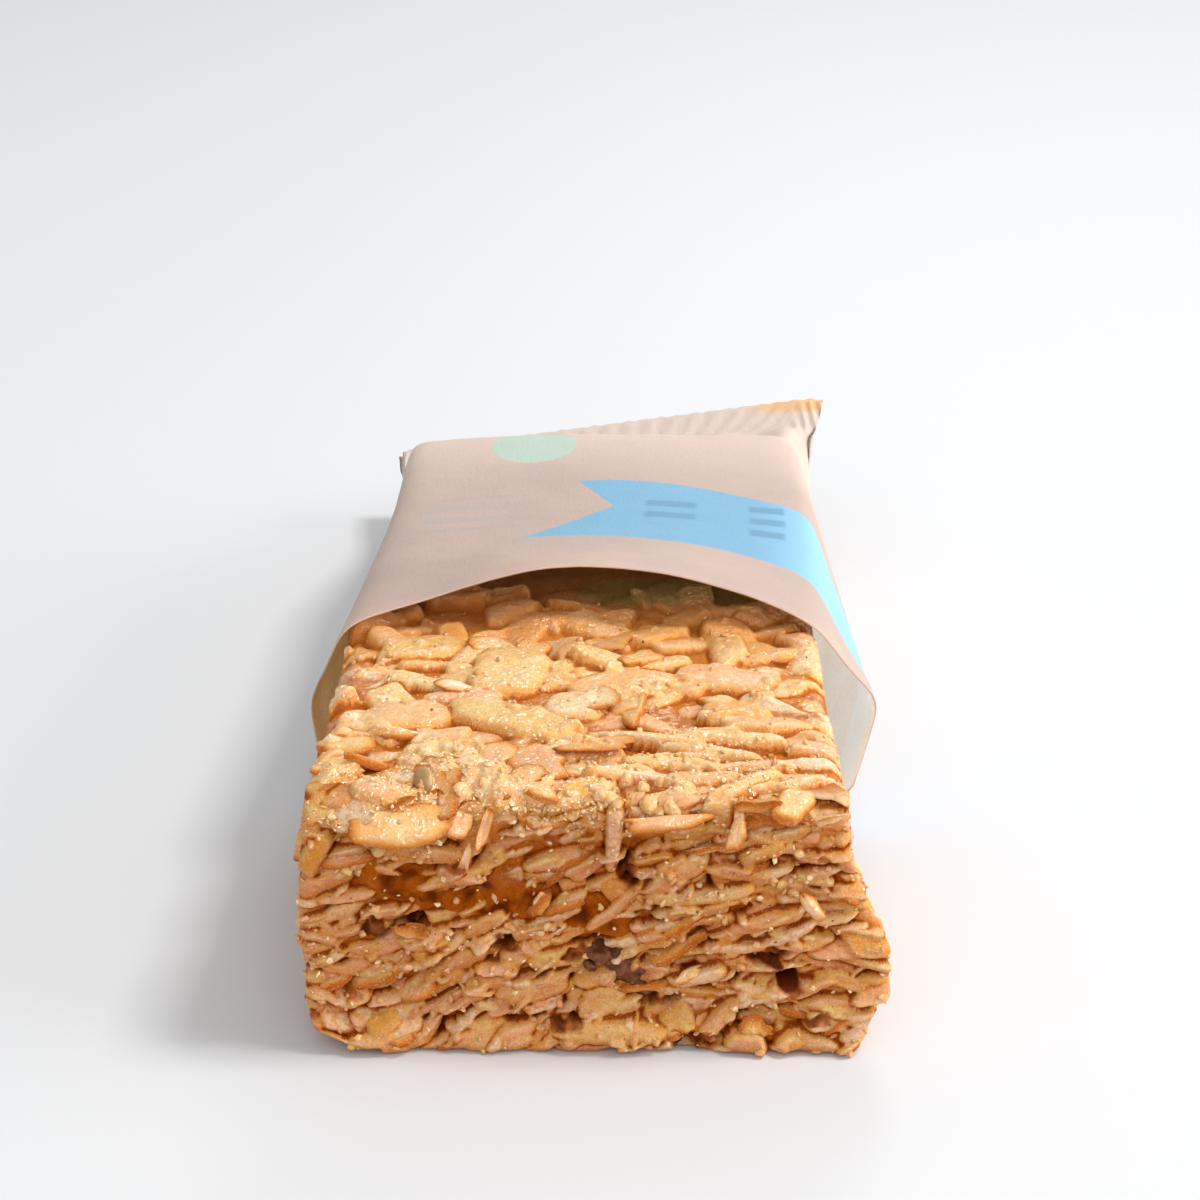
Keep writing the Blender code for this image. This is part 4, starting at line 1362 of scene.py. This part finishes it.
def makeWrapper(finishes):
    x, y, z, crease = paperSheet()
    rows, around = x.shape
    crimp = ease(113.0, paper["crimpStart"], y)
    upper = np.where(z > crease[:, None], 1.0, -1.0)
    spot = np.stack([x, y, z], -1)
    # folds: pleats towards the crimp, slow dents over the top and sides, fine crumple
    share = x / barForm["half"]
    gather = ease(93, 104, y) * (1 - ease(111, 117.5, y))
    turns = x / paper["pleatPitch"] + 0.25 * softNoise(spot, 14, 2)
    pleat = paper["pleat"] * np.sin(2 * np.pi * turns + 0.6) * gather
    dents = paper["dent"] * softNoise(spot * (1, 0.55, 1), 12, 5) * ease(36, 46, y) * (1 - crimp)
    crumple = paper["crumple"] * layeredNoise(spot * (1, 0.7, 1), 4.5, 3, 8) * (1 - 0.8 * crimp)
    z = z + upper * (pleat + np.where(z > 12, dents, 0) * 0.8) - paperLean(x, y, z)
    outX, outZ = outwards(x, z)
    bottom = (z < 3) & (y < 96)
    push = np.where(bottom, 0, crumple)
    x, z = x + outX * push, z + outZ * push
    # the mouth's edge runs back at the creases and in the middle of the arch
    mouth = 1 - ease(paper["mouth"], 50, y)
    crown = paper["crown"] * np.maximum(0, 1 - share ** 2) * ease(19, 24, z)
    atCrease = paper["atCrease"] * bell(z, 10.7, 5.0)
    below = paper["below"] * (1 - ease(0, 10, z))
    wave = paper["wave"] * softNoise(spot * (1, 0, 1), 6, 12)
    y = y + (crown + np.maximum(atCrease, below) + wave) * mouth
    # the crimp: ridges along the wrapper, a tilt to the right, and a toothed cut edge
    ridge = paper["ridgeHeight"] * np.sin(2 * np.pi * x / paper["ridgePitch"])
    ridge = ridge * crimp * (1 - ease(126.8, 127.4, y))
    tilt = paper["crimpTilt"] * share * ease(100, 117, y)
    z = z + ridge + tilt
    tooth = paper["toothDepth"] * np.abs((x / paper["toothPitch"]) % 1 - 0.5) * 2
    y = y - tooth * ease(126.0, paper["tail"], y)
    z = np.maximum(z, paperFloor)
    outX, outZ = outwards(x, z)
    outer = np.stack([x, y, z], -1)
    wall = paper["thick"] * np.where(y > 116, 0.7, 1.0)
    # the inner face, which stops short of the fold at each side
    fold = crease[:, None] + tilt + ridge
    innerZ = z - outZ * wall
    innerZ = np.where(upper > 0, np.maximum(innerZ, fold + 0.02), np.minimum(innerZ, fold - 0.02))
    inner = np.stack([x - outX * wall, y, innerZ], -1)
    # lengths round the paper from the middle of the top, for the print: one pair a face corner, as
    # the last column meets the first
    step = np.hypot(np.roll(x, -1, 1) - x, np.roll(z, -1, 1) - z)
    roundLength = np.cumsum(step, 1) - step
    roundLength = roundLength - roundLength[:, paper["top"] // 2][:, None]
    along = np.broadcast_to(np.linspace(paper["mouth"], paper["tail"], rows)[:, None], x.shape)
    flat = np.stack([roundLength, along], -1)
    flatNext = np.stack([roundLength + step, along], -1)
    points = np.concatenate([outer.reshape(-1, 3), inner.reshape(-1, 3)])
    number = np.arange(rows * around).reshape(rows, around)
    following = np.roll(number, -1, 1)
    skin = np.stack([number[:-1], number[1:], following[1:], following[:-1]], -1).reshape(-1, 4)
    skinPrint = np.stack([flat[:-1], flat[1:], flatNext[1:], flatNext[:-1]], -2).reshape(-1, 4, 2)
    lining = skin[:, ::-1] + rows * around
    rimFront = np.stack([number[0], following[0]], -1)
    rimBack = np.stack([following[-1], number[-1]], -1)
    rims = [np.concatenate([rim, rim[:, ::-1] + rows * around], 1) for rim in (rimFront, rimBack)]
    rimPrint = [np.stack([pair[row] for pair in (flat, flatNext, flatNext, flat)], 1) for row in (0, -1)]
    # all of these faces point inwards, a fault that was found too late to repair
    faces = np.concatenate([skin, lining, *rims])
    prints = np.concatenate([skinPrint, skinPrint[:, ::-1], rimPrint[0], rimPrint[1][:, [1, 0, 3, 2]]])
    # the lining is painted with shade and the orange light thrown off the bar, but for the wall that stands
    # clear of it on the right
    clear = 1 + (inner.reshape(-1, 3)[lining[:, 0] - rows * around, 0] > paper["clearFrom"])
    slots = np.concatenate([np.zeros(len(skin)), clear, np.zeros(2 * around)])
    made = putMesh("paperWrapper", points, [faces], finishes, {}, {"print": prints.reshape(-1, 2)}, slots)
    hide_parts("wrapper")


paperColours = {
    "kraft": (0.50, 0.355, 0.29),
    "shade": (0.42, 0.315, 0.27),
    "far": (0.73, 0.52, 0.42),
    "fibre": (0.33, 0.22, 0.16),
    "orange": (0.90, 0.38, 0.12),
    "olive": (0.15, 0.16, 0.045),
    "blue": (0.137, 0.36, 0.53),
    "paleBlue": (0.25, 0.54, 0.82),
    "deepBlue": (0.10, 0.25, 0.38),
    "green": (0.40, 0.55, 0.45),
    "greyBrown": (0.40, 0.33, 0.30),
}


def printMasks(finish):
    # fields of print, and of painted light (far, right, orange, olive), in millimetres: u round the paper
    # from the middle of the top, v along it
    flat = finish.add("UVMap", {"uv_map": "print"})
    u = finish.add("SeparateXYZ", None, {0: flat}, 0)
    v = finish.add("SeparateXYZ", None, {0: flat}, 1)
    past = u.most(0.0)
    near = 51.4 - past * 0.12 - past * past * 0.008
    notch = 1.3 - (v - 63.4).most(0.0) * 0.38 - (63.4 - v).most(0.0) * 0.64
    blue = v.over(near) * (73.0 - v - past * past * 0.02).over(0.0) * u.over(notch) * (44.0 - u).over(0.0)
    stripes = v.sum("PINGPONG", v * 0.24, 0.5).eased(0.16, 0.34)
    barsOne = stripes * block(u, v, (4.0, 9.5), (57.0, 67.5))
    barsTwo = stripes * block(u, v, (14.0, 18.0), (53.5, 67.5))
    barsLeft = stripes * block(u, v, (-17.0, -6.5), (56.0, 69.0))
    return {"blue": blue, "marks": (barsOne + barsTwo) * blue, "leftMarks": barsLeft * (1 - blue),
            "far": v.eased(70.0, 100.0), "right": u.eased(14.0, 23.0),
            "green": (1.0 - oval(u, v, -7.0, 88.5, 4.4, 7.4)).over(0.0),
            "orange": (1.0 - oval(u, v, 25.0, 127.0, 8.0, 5.0)).eased(0.0, 0.8),
            "olive": (1.0 - oval(u, v, 5.0, 41.0, 12.0, 6.0)).eased(0.0, 0.5)}


def block(u, v, us, vs):
    # 1 inside a soft-edged block, 0 outside
    edge = 0.6
    sides = (u.eased(us[0], us[0] + edge), 1 - u.eased(us[1] - edge, us[1]),
             v.eased(vs[0], vs[0] + edge), 1 - v.eased(vs[1] - edge, vs[1]))
    return sides[0] * sides[1] * sides[2] * sides[3]


def oval(u, v, middleU, middleV, halfU, halfV):
    # 1 on the rim of an oval, less inside it: the sum of the squares over the half sizes
    return (u - middleU) * (u - middleU) / halfU ** 2 + (v - middleV) * (v - middleV) / halfV ** 2


def paperFinish():
    finish = Finish("kraftPaper", paperColours["kraft"], 0.55)
    place = finish.place()
    fields = printMasks(finish)
    cloud = finish.noise(place, 0.09, 4, 0.6)
    fibreAt = finish.add("Mapping", None, {"Vector": place, "Scale": (1.0, 0.25, 1.0)})
    fibre = finish.noise(fibreAt, 3.0, 4, 0.65)
    # painted light: the blue is paler towards the right, where the light falls
    blue = finish.mix(fields["right"], paperColours["blue"], paperColours["paleBlue"])
    colour = finish.painted(paperColours["kraft"], [
        (cloud.eased(0.3, 0.7) * 0.8, paperColours["shade"]),
        (fields["far"] * 0.9, paperColours["far"]),
        # painted light: the paper is lighter towards its far end, where light falls from behind
        (fibre.eased(0.6, 0.75) * 0.25, paperColours["fibre"]),
        # painted light: an orange glow where light comes through the crimp's right corner
        (fields["orange"] * 0.8, paperColours["orange"]),
        (fields["blue"] * 0.93, blue),
        (fields["marks"] * 0.8, paperColours["deepBlue"]),
        (fields["leftMarks"] * 0.7, paperColours["greyBrown"]),
        (fields["green"] * 0.85, paperColours["green"])])
    finish.set("Base Color", colour)
    finish.set("Roughness", 0.5 + fibre * 0.15)
    finish.set("Specular IOR Level", 0.35)
    finish.glow(0.6, (1.0, 0.8, 0.6), 0.0008)
    finish.set("Normal", finish.bump(fibre + cloud, 0.25, 0.0002))
    return finish


# Each lining: two colours, the colour of the print that shows through, how far light goes in. The
# shaded lining is painted with shade and the orange light thrown off the bar; in both the print's
# show-through is painted light that comes through the paper.
linings = {
    "shadedLining": ((0.72, 0.37, 0.13), (0.46, 0.19, 0.045), (0.28, 0.33, 0.12), 0.0012),
    "unshadedLining": ((0.52, 0.46, 0.40), (0.43, 0.35, 0.28), (0.36, 0.54, 0.62), 0.0022),
}


def liningFinish(name):
    liningColour, other, showing, reach = linings[name]
    finish = Finish(name, liningColour, 0.6)
    place = finish.place()
    fields = printMasks(finish)
    fibre = finish.noise(place, 2.0, 4, 0.65)
    cloud = finish.noise(place, 0.15, 3, 0.5)
    finish.set("Base Color", finish.painted(liningColour, [
        ((fibre + cloud).eased(0.75, 1.25) * 0.6, other),
        (fields["blue"] * 0.45, showing),
        # painted light: olive where the light through the blue print falls in the shade inside the mouth
        (fields["olive"] * cloud.eased(0.35, 0.6) * 0.7, paperColours["olive"])]))
    finish.set("Roughness", 0.45 + fibre * 0.2)
    finish.glow(1.0, (1.0, 0.9, 0.8), reach)
    finish.set("Normal", finish.bump(fibre, 0.2, 0.0002))
    return finish


print("studio")
setStudio()
print("core")
baked, torn, edges, lit, loose, glazed = (oatFinish(name) for name in oatLooks)
makeCore(torn)
print("faces")
faces = {"end": makeEndFace(torn), "top": makeTopFace(baked), "side": makeSideFaces([edges, lit])}
makeUnderFace(torn)
print("flakes")
makeLooseFlakes(glazed, loose, faces)
makeOwnFlakes(glazed)
makeBit("driedFruit", fruitPieces, 0.6, (0, 0, 0.4))
makeBit("greySeed", seeds, 0.14, (-1.1, 0.0, 0.5))
print("crumbs")
makeCrumbs(loose, glazed, faces)
print("wrapper")
makeWrapper([paperFinish(), liningFinish("shadedLining"), liningFinish("unshadedLining")])

bpy.context.view_layer.update()
